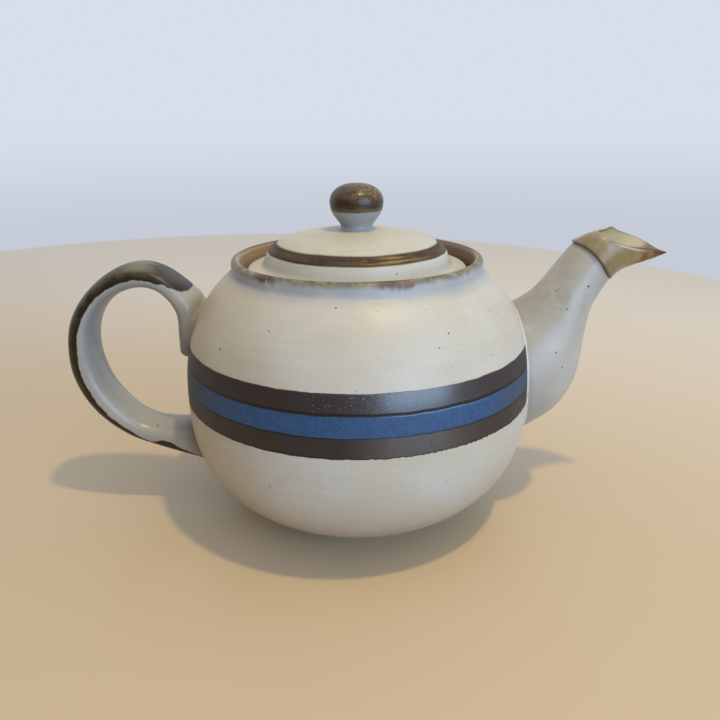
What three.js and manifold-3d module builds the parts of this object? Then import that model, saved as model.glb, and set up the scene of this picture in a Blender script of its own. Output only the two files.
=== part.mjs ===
// A wheel-thrown stoneware teapot with a sunk lid, a pulled strap handle, a soft drip guard on its
// spout and a lift-out mesh basket for the leaves. Millimetres, +Z up, +X towards the spout. The
// origin is on the table, under the axis of the pot.

import * as THREE from "three";
import { mergeVertices } from "three/addons/utils/BufferGeometryUtils.js";
import Module from "manifold-3d";

const wasm = await Module();
wasm.setup();

// Clearances and smoothness
const LUTING_GAP = 0.3;
const SEAM = 1e-3;
const POT_SEGMENTS = 48;
const SMALL_SEGMENTS = 40;
const BELLY_STEPS = 20;
const INNER_BELLY_STEPS = 14;
const DRILL_SIDES = 12;

// Belly: a squashed oval above and below its widest height
const BELLY_WIDEST_Z = 56.1;
const POWER_ABOVE = 2.38;
const POWER_BELOW = 2.57;
const OUTSIDE = { radius: 72.5, above: 64.5, below: 56.3 };
const INSIDE = { radius: 68, above: 60, below: 49.6 };
const SHOULDER_Z = 106;
const INNER_SHOULDER_Z = 97.2;

// Foot ring
const FOOT_RADIUS = 36;
const FOOT_INNER_RADIUS = 31;
const FOOT_CHAMFER = 0.6;
const FOOT_TOP_Z = 3.7;
const FOOT_RECESS_Z = 2;

// Collar and the ledge inside it
const COLLAR_RADIUS = 51.3;
const RIM_Z = 112;
const RIM_RADIUS = 49.5;
const NECK_RADIUS = 46.9;
const LEDGE_Z = 103.6;
const LEDGE_RADIUS = 41;

// The slanting joint on which the collar is luted to the body, on the collar's side
const COLLAR_JOINT = { outerRadius: 51.7, outerZ: 106.5, innerRadius: 47.9, innerZ: 99.8 };

// Strainer holes behind the spout
const STRAINER_HOLE_RADIUS = 2.5;
const STRAINER_PITCH = 8.5;
const STRAINER_Z = 62.5;
const STRAINER_ROWS = [4, 5, 4];

// Spout stations: upper rail x and z, lower rail x and z, half width
const SPOUT_STATIONS = [
  [40, 82, 61.5, 29, 27],
  [57, 86, 84, 41.5, 24],
  [71, 94, 93.5, 57, 18],
  [77, 99.5, 96, 79, 14.8],
  [82, 106.5, 97.5, 88, 12.6],
  [86, 112, 100.5, 95, 11.4],
  [88.5, 115, 106, 104, 10.7],
  [91.2, 117.4, 107, 105.4, 10.2],
];
const SPOUT_RINGS = 17;
const SPOUT_SIDES = 24;
const SPOUT_WALL = 4;

// Handle stations: inner rail x and z, outer rail x and z, half width
const HANDLE_STATIONS = [
  [-69.5, 67.7, -57, 88, 8.5],
  [-76.5, 69.2, -60, 91.5, 10],
  [-75.5, 77, -64, 92.5, 11],
  [-75.5, 89, -67.5, 97, 11],
  [-81, 97, -79, 106.5, 10],
  [-89.5, 99.5, -90, 109.5, 10],
  [-99.5, 96.5, -102.5, 105.5, 10],
  [-107, 89.5, -114.5, 95, 10],
  [-111, 79.5, -121.5, 81.5, 10],
  [-111, 67.5, -122.5, 62.5, 10],
  [-106.5, 54.5, -115.5, 46, 10],
  [-95.5, 42, -103, 34.5, 10],
  [-82.5, 38.5, -87, 27.1, 10],
  [-58, 39.5, -58, 17, 11],
];
const HANDLE_RINGS = 44;
const HANDLE_SIDES = 16;

// Lid
const LID_SEAT_Z = 104.4;
const LID_RADIUS = 44.8;
const LID_RIM_TOP_Z = 107.7;
const DOME = { radius: 37.4, baseZ: 109.3, height: 13.1, power: 2, rise: 2.9 };
const LID_WALL = 4.3;
const KNOB_SEAT_Z = 122.1;
const KNOB_SEAT_RADIUS = 8;
const SKIRT_RADIUS = 35.5;
const SKIRT_INNER_RADIUS = 32.8;
const SKIRT_BOTTOM_Z = 97;
const STEAM_HOLE = { x: 9, y: 2.3, radius: 0.9 };

// Knob: a waisted stem, radius and height, that swells into the ball
const KNOB_STEM = [
  [7.3, KNOB_SEAT_Z],
  [6.45, 123.8],
  [7.85, 126],
  [9.3, 127.9],
  [10.3, 129.9],
];
const KNOB_RADIUS = 10.85;
const KNOB_WIDEST_Z = 132.8;
const KNOB_TOP_Z = 140.4;
const KNOB_ROUNDNESS = 0.88;

// Infuser basket
const SHEET = 0.5;
const BASKET_RADIUS = 38.8;
const BASKET_FLOOR_Z = 32;
const BASKET_TOP_Z = 101.5;
const FLANGE_RADIUS = 43.6;
const FLANGE_THICKNESS = LID_SEAT_Z - LEDGE_Z;
const LIP_DEPTH = 7.4;
const CLAMP_BAND = { bottom: 96, top: 101, thickness: 0.8 };
const FOOT_BAND = { bottom: 31, top: 35.2, thickness: 0.6, lip: 2.4 };
const SEAM_STRIP_WIDTH = 5;

// Spout guard
const GUARD_CENTRE = new THREE.Vector3(96.6, 0, 108.4);
const GUARD_SLOPE = THREE.MathUtils.degToRad(47.6);
const GUARD_RADIUS = 12;
const GUARD_LIFT_DEGREES = [0, 52, 96, 128, 148, 180];
const GUARD_LIFTS = [0.2, -0.6, 0.7, 1.9, 0.7, 0.2];
const GUARD_WALL = 0.8;
const GUARD_COLUMNS = 32;
const GUARD_ROWS = 6;
const GUARD_CREASE_RISE = 1.3;
const GUARD_RISE = 0.9;
const GUARD_MOUTH = [
  [125.2, -5, 112.4],
  [118.5, -6, 114.2],
  [112, -8.5, 115.2],
  [106.5, -9.8, 116.4],
  [101.5, -10, 118],
  [97, -7.5, 120.2],
  [98.5, -2, 121.8],
  [104, 2.5, 122.6],
  [108.5, 6.5, 120],
  [113.5, 6.5, 118.2],
  [118.5, 3, 116.4],
  [122.5, -1.5, 114.2],
];

function lathe(points, segments) {
  return plain(new THREE.LatheGeometry(points, segments).rotateX(Math.PI / 2));
}

// Keeps only the positions, with shared corners merged, as a closed body needs.
function plain(geometry) {
  geometry.deleteAttribute("normal");
  geometry.deleteAttribute("uv");
  return mergeVertices(geometry, SEAM);
}

function toSolid(geometry) {
  return new wasm.Manifold(
    new wasm.Mesh({
      numProp: 3,
      vertProperties: geometry.attributes.position.array,
      triVerts: new Uint32Array(geometry.index.array),
    }),
  );
}

function cut(geometry, tools) {
  const left = tools.reduce((solid, tool) => solid.subtract(toSolid(tool)), toSolid(geometry));
  const mesh = left.getMesh();
  return new THREE.BufferGeometry()
    .setAttribute("position", new THREE.BufferAttribute(new Float32Array(mesh.vertProperties), 3))
    .setIndex(new THREE.BufferAttribute(new Uint32Array(mesh.triVerts), 1));
}

function profile(pairs) {
  return pairs.map(([radius, z]) => new THREE.Vector2(radius, z));
}

function steps(count, make) {
  return Array.from({ length: count + 1 }, (_, i) => make(i / count));
}

// Joins rows of matching points into one closed skin. The rows either close on themselves, as
// round a sleeve's wall, or end in two flat caps.
function skin(rows, closesOnItself) {
  const columns = rows[0].length;
  const points = rows.flat();
  const corner = (row, column) => (row % rows.length) * columns + (column % columns);
  const index = [];
  const bands = closesOnItself ? rows.length : rows.length - 1;
  for (let row = 0; row < bands; row++) {
    for (let column = 0; column < columns; column++) {
      const near = corner(row, column);
      const nearNext = corner(row, column + 1);
      const far = corner(row + 1, column);
      const farNext = corner(row + 1, column + 1);
      index.push(near, nearNext, farNext, near, farNext, far);
    }
  }
  if (!closesOnItself) {
    const last = rows.length - 1;
    for (let column = 1; column < columns - 1; column++) {
      index.push(corner(0, 0), corner(0, column + 1), corner(0, column));
      index.push(corner(last, 0), corner(last, column), corner(last, column + 1));
    }
  }
  return new THREE.BufferGeometry().setFromPoints(points).setIndex(index);
}

// A tube between two rails in the XZ plane, the first of them on the left of the way it runs. It
// can be drawn in by an inset all round, and run on past its last station.
function railTube(stations, rings, sides, inset = 0, overrun = 0) {
  const left = new THREE.SplineCurve(profile(stations));
  const right = new THREE.SplineCurve(profile(stations.map((station) => station.slice(2))));
  const widths = new THREE.SplineCurve(profile(stations.map((station) => [station[4], 0])));
  const ring = (t, run) => {
    const middle = left.getPoint(t).add(right.getPoint(t)).multiplyScalar(0.5);
    const half = left.getPoint(t).sub(middle);
    const ahead = new THREE.Vector2(half.y, -half.x).setLength(run);
    const halfWidth = widths.getPoint(t).x - inset;
    half.setLength(half.length() - inset);
    middle.add(ahead);
    return Array.from({ length: sides }, (_, side) => {
      const turn = (side / sides) * 2 * Math.PI;
      const x = middle.x + half.x * Math.cos(turn);
      const z = middle.y + half.y * Math.cos(turn);
      return new THREE.Vector3(x, -halfWidth * Math.sin(turn), z);
    });
  };
  const rows = steps(rings, (t) => ring(t, 0));
  if (overrun > 0) rows.push(ring(1, overrun));
  return skin(rows, false);
}

function bellyAngle(shell, z) {
  const above = z > BELLY_WIDEST_Z;
  const height = above ? shell.above : shell.below;
  const power = above ? POWER_ABOVE : POWER_BELOW;
  const angle = Math.asin((Math.abs(z - BELLY_WIDEST_Z) / height) ** (power / 2));
  return above ? angle : -angle;
}

function bellyPoint(shell, angle) {
  const height = angle > 0 ? shell.above : -shell.below;
  const exponent = 2 / (angle > 0 ? POWER_ABOVE : POWER_BELOW);
  const radius = shell.radius * Math.cos(angle) ** exponent;
  const z = BELLY_WIDEST_Z + height * Math.abs(Math.sin(angle)) ** exponent;
  return new THREE.Vector2(radius, z);
}

function bellyArc(shell, fromZ, toZ, count) {
  const from = bellyAngle(shell, fromZ);
  const to = bellyAngle(shell, toZ);
  return steps(count, (t) => bellyPoint(shell, THREE.MathUtils.lerp(from, to, t)));
}

// The pot's outer form without its foot and collar, grown by the gap that luted pieces keep.
function trimmingForm() {
  const shell = {
    radius: OUTSIDE.radius + LUTING_GAP,
    above: OUTSIDE.above + LUTING_GAP,
    below: OUTSIDE.below + LUTING_GAP,
  };
  const arc = bellyArc(shell, FOOT_TOP_Z, SHOULDER_Z, BELLY_STEPS);
  const bottom = new THREE.Vector2(0, arc[0].y);
  const top = new THREE.Vector2(0, arc.at(-1).y);
  return lathe([bottom, ...arc, top], POT_SEGMENTS);
}

function footProfile() {
  return profile([
    [0, FOOT_RECESS_Z],
    [FOOT_INNER_RADIUS - FOOT_CHAMFER, FOOT_RECESS_Z],
    [FOOT_INNER_RADIUS, FOOT_CHAMFER],
    [FOOT_INNER_RADIUS + FOOT_CHAMFER, 0],
    [FOOT_RADIUS - FOOT_CHAMFER, 0],
    [FOOT_RADIUS, FOOT_CHAMFER],
  ]);
}

// The body's side of the joint with the collar, from the outside inwards.
function bodyJointProfile() {
  const outer = new THREE.Vector2(COLLAR_JOINT.outerRadius, COLLAR_JOINT.outerZ);
  const inner = new THREE.Vector2(COLLAR_JOINT.innerRadius, COLLAR_JOINT.innerZ);
  const slope = outer.clone().sub(inner);
  const away = new THREE.Vector2(slope.y, -slope.x).setLength(LUTING_GAP);
  return [outer.add(away), inner.add(away)];
}

function collar() {
  const rimHalf = COLLAR_RADIUS - RIM_RADIUS;
  const rimBaseZ = RIM_Z - rimHalf;
  const rim = steps(5, (t) => {
    const angle = t * Math.PI;
    const radius = RIM_RADIUS + rimHalf * Math.cos(angle);
    return new THREE.Vector2(radius, rimBaseZ + rimHalf * Math.sin(angle));
  });
  const joint = profile([
    [LEDGE_RADIUS, LEDGE_Z - 2],
    [LEDGE_RADIUS + 0.8, LEDGE_Z - 2.7],
    [COLLAR_JOINT.innerRadius, COLLAR_JOINT.innerZ],
    [COLLAR_JOINT.outerRadius, COLLAR_JOINT.outerZ],
    [COLLAR_RADIUS + 0.05, SHOULDER_Z + 1.5],
  ]);
  const ledge = profile([
    [NECK_RADIUS + 0.1, LEDGE_Z + 1],
    [NECK_RADIUS, LEDGE_Z],
    [LEDGE_RADIUS + 0.6, LEDGE_Z],
    [LEDGE_RADIUS, LEDGE_Z - 0.6],
    [LEDGE_RADIUS, LEDGE_Z - 2],
  ]);
  return lathe([...joint, ...rim, ...ledge], POT_SEGMENTS);
}

function drill(radius, length) {
  return new THREE.CylinderGeometry(radius, radius, length, DRILL_SIDES);
}

function strainerHoles() {
  const length = 2 * (OUTSIDE.radius - INSIDE.radius + STRAINER_PITCH);
  return STRAINER_ROWS.flatMap((count, row) =>
    Array.from({ length: count }, (_, i) => {
      const y = (row - (STRAINER_ROWS.length - 1) / 2) * STRAINER_PITCH;
      const z = STRAINER_Z + (i - (count - 1) / 2) * STRAINER_PITCH;
      const hole = drill(STRAINER_HOLE_RADIUS, length).rotateZ(Math.PI / 2);
      return plain(hole.translate(INSIDE.radius, y, z));
    }),
  );
}

function potBody() {
  const outline = [
    ...footProfile(),
    ...bellyArc(OUTSIDE, FOOT_TOP_Z, SHOULDER_Z, BELLY_STEPS),
    ...bodyJointProfile(),
    ...bellyArc(INSIDE, INNER_SHOULDER_Z, BELLY_WIDEST_Z - INSIDE.below, INNER_BELLY_STEPS),
  ];
  return cut(lathe(outline, POT_SEGMENTS), strainerHoles());
}

function spout() {
  const bore = railTube(SPOUT_STATIONS, SPOUT_RINGS, SPOUT_SIDES, SPOUT_WALL, SPOUT_WALL);
  const outside = railTube(SPOUT_STATIONS, SPOUT_RINGS, SPOUT_SIDES);
  return cut(outside, [trimmingForm(), bore]);
}

function handle() {
  return cut(railTube(HANDLE_STATIONS, HANDLE_RINGS, HANDLE_SIDES), [trimmingForm()]);
}

function domePoint(z, inset) {
  const share = (z - DOME.baseZ) / (DOME.height - inset);
  const radius = (DOME.radius - inset) * (1 - share ** DOME.rise) ** (1 / DOME.power);
  return new THREE.Vector2(radius, z);
}

// Points on the lid's dome, closer together in height towards the top where it flattens.
function domeArc(fromZ, toZ, inset, count) {
  return steps(count, (t) => {
    const eased = Math.sin((t * Math.PI) / 2);
    return domePoint(THREE.MathUtils.lerp(fromZ, toZ, eased), inset);
  });
}

function lid() {
  const hollowTopZ = DOME.baseZ + DOME.height - LID_WALL;
  const hollow = domeArc(DOME.baseZ, hollowTopZ, LID_WALL, 5).reverse();
  const rim = profile([
    [SKIRT_INNER_RADIUS, LID_SEAT_Z],
    [SKIRT_INNER_RADIUS, SKIRT_BOTTOM_Z + 1],
    [SKIRT_INNER_RADIUS + 0.7, SKIRT_BOTTOM_Z],
    [SKIRT_RADIUS - 0.7, SKIRT_BOTTOM_Z],
    [SKIRT_RADIUS, SKIRT_BOTTOM_Z + 1],
    [SKIRT_RADIUS, LID_SEAT_Z],
    [LID_RADIUS - 0.6, LID_SEAT_Z],
    [LID_RADIUS, LID_SEAT_Z + 0.6],
    [LID_RADIUS, LID_RIM_TOP_Z - 0.6],
    [LID_RADIUS - 0.6, LID_RIM_TOP_Z],
    [DOME.radius + 3.4, LID_RIM_TOP_Z + 0.35],
    [DOME.radius + 1.8, LID_RIM_TOP_Z + 0.7],
    [DOME.radius + 0.7, LID_RIM_TOP_Z + 1.2],
    [DOME.radius + 0.1, LID_RIM_TOP_Z + 1.9],
  ]);
  const dome = domeArc(DOME.baseZ + 1.2, DOME.baseZ + DOME.height, 0, 10);
  const belowSeat = dome.filter((point) => point.y < KNOB_SEAT_Z && point.x > KNOB_SEAT_RADIUS);
  const seat = profile([
    [KNOB_SEAT_RADIUS, KNOB_SEAT_Z],
    [0, KNOB_SEAT_Z],
  ]);
  const steamHole = drill(STEAM_HOLE.radius, 4 * LID_WALL).rotateX(Math.PI / 2);
  steamHole.translate(STEAM_HOLE.x, STEAM_HOLE.y, KNOB_SEAT_Z);
  return cut(lathe([...hollow, ...rim, ...belowSeat, ...seat], POT_SEGMENTS), [plain(steamHole)]);
}

function lidKnob() {
  const stem = new THREE.SplineCurve(profile([...KNOB_STEM, [KNOB_RADIUS, KNOB_WIDEST_Z]]));
  const crown = steps(6, (t) => {
    const angle = (t * Math.PI) / 2;
    const radius = KNOB_RADIUS * Math.cos(angle) ** KNOB_ROUNDNESS;
    const z = KNOB_WIDEST_Z + (KNOB_TOP_Z - KNOB_WIDEST_Z) * Math.sin(angle) ** KNOB_ROUNDNESS;
    return new THREE.Vector2(radius, z);
  });
  const foot = new THREE.Vector2(0, KNOB_SEAT_Z);
  return lathe([foot, ...stem.getPoints(8).slice(0, -1), ...crown], SMALL_SEGMENTS);
}

// A ring of rectangular section, open in the middle.
function band(innerRadius, outerRadius, bottomZ, topZ) {
  return lathe(
    profile([
      [innerRadius, bottomZ],
      [outerRadius, bottomZ],
      [outerRadius, topZ],
      [innerRadius, topZ],
      [innerRadius, bottomZ],
    ]),
    SMALL_SEGMENTS,
  );
}

function infuserFlangeRing() {
  const lipOuter = BASKET_RADIUS - SHEET - LUTING_GAP;
  const lipInner = lipOuter - FLANGE_THICKNESS;
  return lathe(
    profile([
      [lipInner, LID_SEAT_Z - LIP_DEPTH],
      [lipOuter, LID_SEAT_Z - LIP_DEPTH],
      [lipOuter, LEDGE_Z],
      [FLANGE_RADIUS, LEDGE_Z],
      [FLANGE_RADIUS, LID_SEAT_Z],
      [lipInner, LID_SEAT_Z],
      [lipInner, LID_SEAT_Z - LIP_DEPTH],
    ]),
    SMALL_SEGMENTS,
  );
}

function infuserClampBand() {
  const inner = BASKET_RADIUS + LUTING_GAP;
  return band(inner, inner + CLAMP_BAND.thickness, CLAMP_BAND.bottom, CLAMP_BAND.top);
}

function infuserMeshSleeve() {
  return band(BASKET_RADIUS - SHEET, BASKET_RADIUS, BASKET_FLOOR_Z, BASKET_TOP_Z);
}

function infuserSeamStrip() {
  const inner = BASKET_RADIUS + LUTING_GAP;
  const outer = inner + SHEET;
  const half = SEAM_STRIP_WIDTH / 2 / inner;
  const middle = Math.PI / 2;
  const outline = new THREE.Shape()
    .absarc(0, 0, outer, middle - half, middle + half, false)
    .absarc(0, 0, inner, middle + half, middle - half, true);
  const bottom = FOOT_BAND.top + LUTING_GAP;
  const depth = CLAMP_BAND.bottom - LUTING_GAP - bottom;
  const strip = new THREE.ExtrudeGeometry(outline, { depth, bevelEnabled: false, curveSegments: 4 });
  return plain(strip.translate(0, 0, bottom));
}

function infuserMeshFloor() {
  const radius = BASKET_RADIUS - SHEET - LUTING_GAP;
  return lathe(
    profile([
      [0, BASKET_FLOOR_Z],
      [radius, BASKET_FLOOR_Z],
      [radius, BASKET_FLOOR_Z + SHEET],
      [0, BASKET_FLOOR_Z + SHEET],
    ]),
    SMALL_SEGMENTS,
  );
}

function infuserFootBand() {
  const inner = BASKET_RADIUS + LUTING_GAP;
  const lipRadius = inner - FOOT_BAND.lip;
  return lathe(
    profile([
      [lipRadius, FOOT_BAND.bottom],
      [inner + FOOT_BAND.thickness, FOOT_BAND.bottom],
      [inner + FOOT_BAND.thickness, FOOT_BAND.top],
      [inner, FOOT_BAND.top],
      [inner, FOOT_BAND.bottom + FOOT_BAND.thickness],
      [lipRadius, FOOT_BAND.bottom + FOOT_BAND.thickness],
      [lipRadius, FOOT_BAND.bottom],
    ]),
    SMALL_SEGMENTS,
  );
}

// How far the guard's lower edge stands above its plane, alike on both sides: it dips under the
// beak and rises towards the back.
const guardLift = new THREE.CubicInterpolant(GUARD_LIFT_DEGREES, GUARD_LIFTS, 1);

function guardLowerEdge(turn) {
  const degrees = THREE.MathUtils.radToDeg(Math.PI - Math.abs(Math.PI - turn));
  const along = new THREE.Vector3(Math.cos(GUARD_SLOPE), 0, Math.sin(GUARD_SLOPE));
  const across = new THREE.Vector3(Math.sin(GUARD_SLOPE), 0, -Math.cos(GUARD_SLOPE));
  return GUARD_CENTRE.clone()
    .addScaledVector(across, GUARD_RADIUS * Math.cos(turn))
    .addScaledVector(new THREE.Vector3(0, -1, 0), GUARD_RADIUS * Math.sin(turn))
    .addScaledVector(along, guardLift.evaluate(degrees)[0]);
}

function spoutGuard() {
  const points = GUARD_MOUTH.map((point) => new THREE.Vector3(...point));
  const mouth = new THREE.CatmullRomCurve3(points, true, "catmullrom");
  const columns = Array.from({ length: GUARD_COLUMNS }, (_, column) => {
    const share = column / GUARD_COLUMNS;
    const low = guardLowerEdge(share * 2 * Math.PI);
    const high = mouth.getPoint(share);
    const crease = Math.max(0, Math.cos(share * 2 * Math.PI));
    const middle = low.clone().add(high).multiplyScalar(0.5);
    middle.z += 2 * (GUARD_RISE + GUARD_CREASE_RISE * crease);
    return new THREE.QuadraticBezierCurve3(low, middle, high);
  });
  const outer = steps(GUARD_ROWS - 1, (t) => columns.map((column) => column.getPoint(t)));
  const surface = skin(outer, false);
  surface.computeVertexNormals();
  const normals = surface.attributes.normal;
  const inner = outer.map((row, i) =>
    row.map((point, j) => {
      const normal = new THREE.Vector3().fromBufferAttribute(normals, i * GUARD_COLUMNS + j);
      return point.clone().addScaledVector(normal, -GUARD_WALL);
    }),
  );
  return skin([...outer, ...inner.reverse()], true);
}

function piece(name, geometry, color, roughness, metalness = 0) {
  geometry.computeVertexNormals();
  const mesh = new THREE.Mesh(geometry, new THREE.MeshStandardMaterial({ color, roughness, metalness }));
  mesh.name = name;
  return mesh;
}

const pot = new THREE.Group().add(
  piece("pot_body", potBody(), "#c9c1b1", 0.45),
  piece("pot_collar", collar(), "#a89d86", 0.45),
  piece("spout", spout(), "#bdb8ae", 0.45),
  piece("handle", handle(), "#8d8577", 0.4),
);

const lidGroup = new THREE.Group().add(
  piece("lid", lid(), "#cfc8b6", 0.45),
  piece("lid_knob", lidKnob(), "#7b6a48", 0.35),
);

const infuser = new THREE.Group().add(
  piece("infuser_flange_ring", infuserFlangeRing(), "#c4c6c8", 0.3, 1),
  piece("infuser_clamp_band", infuserClampBand(), "#c4c6c8", 0.35, 1),
  piece("infuser_mesh_sleeve", infuserMeshSleeve(), "#aeb1b4", 0.45, 1),
  piece("infuser_seam_strip", infuserSeamStrip(), "#b9bcbf", 0.4, 1),
  piece("infuser_mesh_floor", infuserMeshFloor(), "#aeb1b4", 0.45, 1),
  piece("infuser_foot_band", infuserFootBand(), "#c4c6c8", 0.35, 1),
);

const guard = new THREE.Group().add(piece("spout_guard", spoutGuard(), "#b9924a", 0.25));

const teapot = new THREE.Group().add(pot, infuser, lidGroup, guard);

export default teapot;
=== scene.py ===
"""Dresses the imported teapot: a thrown stoneware pot with its lid, drip guard and infuser basket.

Metres, +Z up, +X towards the spout. The origin is on the table, under the axis of the pot.
"""

import logging
import math
from collections.abc import Iterable, Sequence
from dataclasses import dataclass, field
from enum import Enum
from functools import reduce
from itertools import pairwise

import bpy
from mathutils import Matrix, Vector


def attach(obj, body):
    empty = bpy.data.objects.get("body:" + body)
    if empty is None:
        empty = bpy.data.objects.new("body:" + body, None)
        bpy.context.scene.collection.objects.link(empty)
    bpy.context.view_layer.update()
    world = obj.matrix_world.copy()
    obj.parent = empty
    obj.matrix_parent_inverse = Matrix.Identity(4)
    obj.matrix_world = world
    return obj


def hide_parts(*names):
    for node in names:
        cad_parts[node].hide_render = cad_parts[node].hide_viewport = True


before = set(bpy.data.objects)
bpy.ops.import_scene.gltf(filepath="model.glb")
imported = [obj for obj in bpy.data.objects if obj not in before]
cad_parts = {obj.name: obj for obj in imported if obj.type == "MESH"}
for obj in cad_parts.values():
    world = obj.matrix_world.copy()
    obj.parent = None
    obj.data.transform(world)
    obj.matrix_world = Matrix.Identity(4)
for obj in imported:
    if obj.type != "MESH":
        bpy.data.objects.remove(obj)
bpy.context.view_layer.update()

log = logging.getLogger("teapot")

MM = 0.001
MERGE_DISTANCE = 1e-6
SLIVER = 2e-5

Object = bpy.types.Object
Material = bpy.types.Material
Node = bpy.types.Node
Socket = bpy.types.NodeSocket
Outline = list[tuple[float, float]]
Colour = tuple[float, float, float, float]
Value = float | Socket
Paint = Colour | Socket


class Body(Enum):
    """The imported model's moving bodies."""

    POT = "pot"
    INFUSER = "infuser"
    LID = "lid"
    GUARD = "guard"


class Slot(Enum):
    """The record's material slots."""

    STRIPED = "striped_glaze"
    OATMEAL = "oatmeal_glaze"
    HANDLE = "handle_glaze"
    LID = "lid_glaze"
    KNOB = "knob_glaze"
    VINYL = "amber_vinyl"
    PRESSED = "pressed_steel"
    WOVEN = "woven_steel"


def tint(code: str) -> Colour:
    """Turns a display colour into scene-linear light.

    Args:
        code: the colour, such as #c9c1b1.

    Returns:
        Its red, green, blue and alpha.
    """
    shares = [int(code[i : i + 2], 16) / 255 for i in (1, 3, 5)]
    linear = [s / 12.92 if s <= 0.04045 else ((s + 0.055) / 1.055) ** 2.4 for s in shares]
    return (*linear, 1.0)


# Modelling by operators


def pick(*chosen: Object) -> None:
    """Selects only some objects and makes the first one active.

    Args:
        chosen: the objects.
    """
    bpy.ops.object.select_all(action="DESELECT")
    for piece in chosen:
        piece.select_set(True)
    bpy.context.view_layer.objects.active = chosen[0]


class Editing:
    """Edit mode on one object, for a with block."""

    def __init__(self, piece: Object) -> None:
        """Remembers the piece to edit."""
        self.piece = piece

    def __enter__(self) -> Object:
        """Enters edit mode.

        Returns:
            The piece.
        """
        pick(self.piece)
        bpy.ops.object.mode_set(mode="EDIT")
        return self.piece

    def __exit__(self, *_: object) -> None:
        """Returns to object mode."""
        bpy.ops.object.mode_set(mode="OBJECT")


def named(name: str) -> Object:
    """Names the object that was just made, and puts its place into its mesh.

    Args:
        name: its new name.

    Returns:
        The object.
    """
    piece = bpy.context.object
    piece.name = name
    pick(piece)
    bpy.ops.object.transform_apply(location=True, rotation=True, scale=True)
    return piece


def finish_with(piece: Object, kind: str, **settings: object) -> None:
    """Adds a modifier, sets it and applies it.

    Args:
        piece: the mesh to finish.
        kind: the modifier's type.
        settings: the modifier's own settings.
    """
    pick(piece)
    modifier = piece.modifiers.new(kind.title(), kind)
    for key, value in settings.items():
        setattr(modifier, key, value)
    bpy.ops.object.modifier_apply(modifier=modifier.name)


def soften(piece: Object, width: float, segments: int = 2, angle: float = 35) -> None:
    """Rounds a piece's sharp edges, as glaze and a sponge do.

    Args:
        piece: the mesh to round.
        width: how far each side of the edge is cut back.
        segments: faces across each rounded edge.
        angle: the least angle, in degrees, of an edge that is rounded.
    """
    settings = {"limit_method": "ANGLE", "angle_limit": math.radians(angle)}
    finish_with(piece, "BEVEL", width=width, segments=segments, **settings)


def shade(piece: Object, angle: float = 40) -> Object:
    """Shades a piece smooth, but for its sharper edges.

    Args:
        piece: the piece.
        angle: the least angle, in degrees, of an edge that stays sharp.

    Returns:
        The same piece.
    """
    pick(piece)
    bpy.ops.object.shade_smooth_by_angle(angle=math.radians(angle))
    return piece


def face_outwards() -> None:
    """Merges doubles and turns every face outwards, in edit mode."""
    bpy.ops.mesh.select_all(action="SELECT")
    bpy.ops.mesh.remove_doubles(threshold=MERGE_DISTANCE)
    bpy.ops.mesh.normals_make_consistent(inside=False)


def throw(name: str, outline: Outline, segments: int) -> Object:
    """Spins an outline round the pot's axis, as on a wheel.

    Args:
        name: the new piece's name.
        outline: radius and height of each point, in order.
        segments: faces round the axis.

    Returns:
        The closed piece, facing out.
    """
    radius, height = outline[0]
    bpy.ops.mesh.primitive_plane_add(size=MM, location=(radius, 0, height))
    piece = named(name)
    with Editing(piece):
        bpy.ops.mesh.select_all(action="SELECT")
        bpy.ops.mesh.merge(type="CENTER")
        for (r0, z0), (r1, z1) in pairwise(outline):
            step = {"value": (r1 - r0, 0, z1 - z0)}
            bpy.ops.mesh.extrude_vertices_move(TRANSFORM_OT_translate=step)
        bpy.ops.mesh.select_all(action="SELECT")
        axis = {"center": (0, 0, 0), "axis": (0, 0, 1)}
        bpy.ops.mesh.spin(steps=segments, angle=math.tau, **axis)
        face_outwards()
    return piece


@dataclass(frozen=True)
class Section:
    """One oval section of a pulled piece, square to the XZ plane."""

    middle: Vector
    half: Vector
    half_width: float

    @property
    def turn(self) -> float:
        """The turn about Y that lays local X along the half vector."""
        return math.atan2(-self.half.z, self.half.x)

    @property
    def ahead(self) -> Vector:
        """The direction in which the piece leaves the section."""
        return Vector((self.half.z, 0, -self.half.x)).normalized()


def pull(name: str, sections: Sequence[Section], sides: int, roundness: float = 1.0) -> Object:
    """Joins oval sections into a closed strap or tube, one after the other.

    Args:
        name: the new piece's name.
        sections: the sections in order.
        sides: faces round each section.
        roundness: 1 for ovals, and less for squarer sections.

    Returns:
        The closed piece, with a UV map that runs along it and across it.
    """
    rings = []
    for section in sections:
        place = {"location": section.middle, "rotation": (0, section.turn, 0)}
        bpy.ops.mesh.primitive_circle_add(vertices=sides, radius=1, fill_type="NOTHING", **place)
        ring = bpy.context.object
        ring.scale = (section.half.length, section.half_width, 1)
        rings.append(ring)
    pick(*rings)
    bpy.ops.object.join()
    piece = named(name)
    bridge_in_order(piece, len(sections), sides)
    if roundness < 1:
        flatten_sides(piece, sections, sides, roundness)
    wrap_uv(piece, sections, sides)
    return piece


def flatten_sides(
    piece: Object, sections: Sequence[Section], sides: int, roundness: float
) -> None:
    """Makes a pulled piece's oval sections squarer, as a strap's are.

    Args:
        piece: the pulled mesh, ring after ring.
        sections: the sections it was made from.
        sides: corners in each ring.
        roundness: 1 for ovals, and less for squarer sections.
    """
    for vertex in piece.data.vertices:
        section = sections[vertex.index // sides]
        out = vertex.co - section.middle
        across = out.dot(section.half) / section.half.length_squared
        beside = out.y / section.half_width
        across = math.copysign(abs(across) ** roundness, across)
        beside = math.copysign(abs(beside) ** roundness, beside)
        aside = Vector((0, beside * section.half_width, 0))
        vertex.co = section.middle + section.half * across + aside


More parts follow.
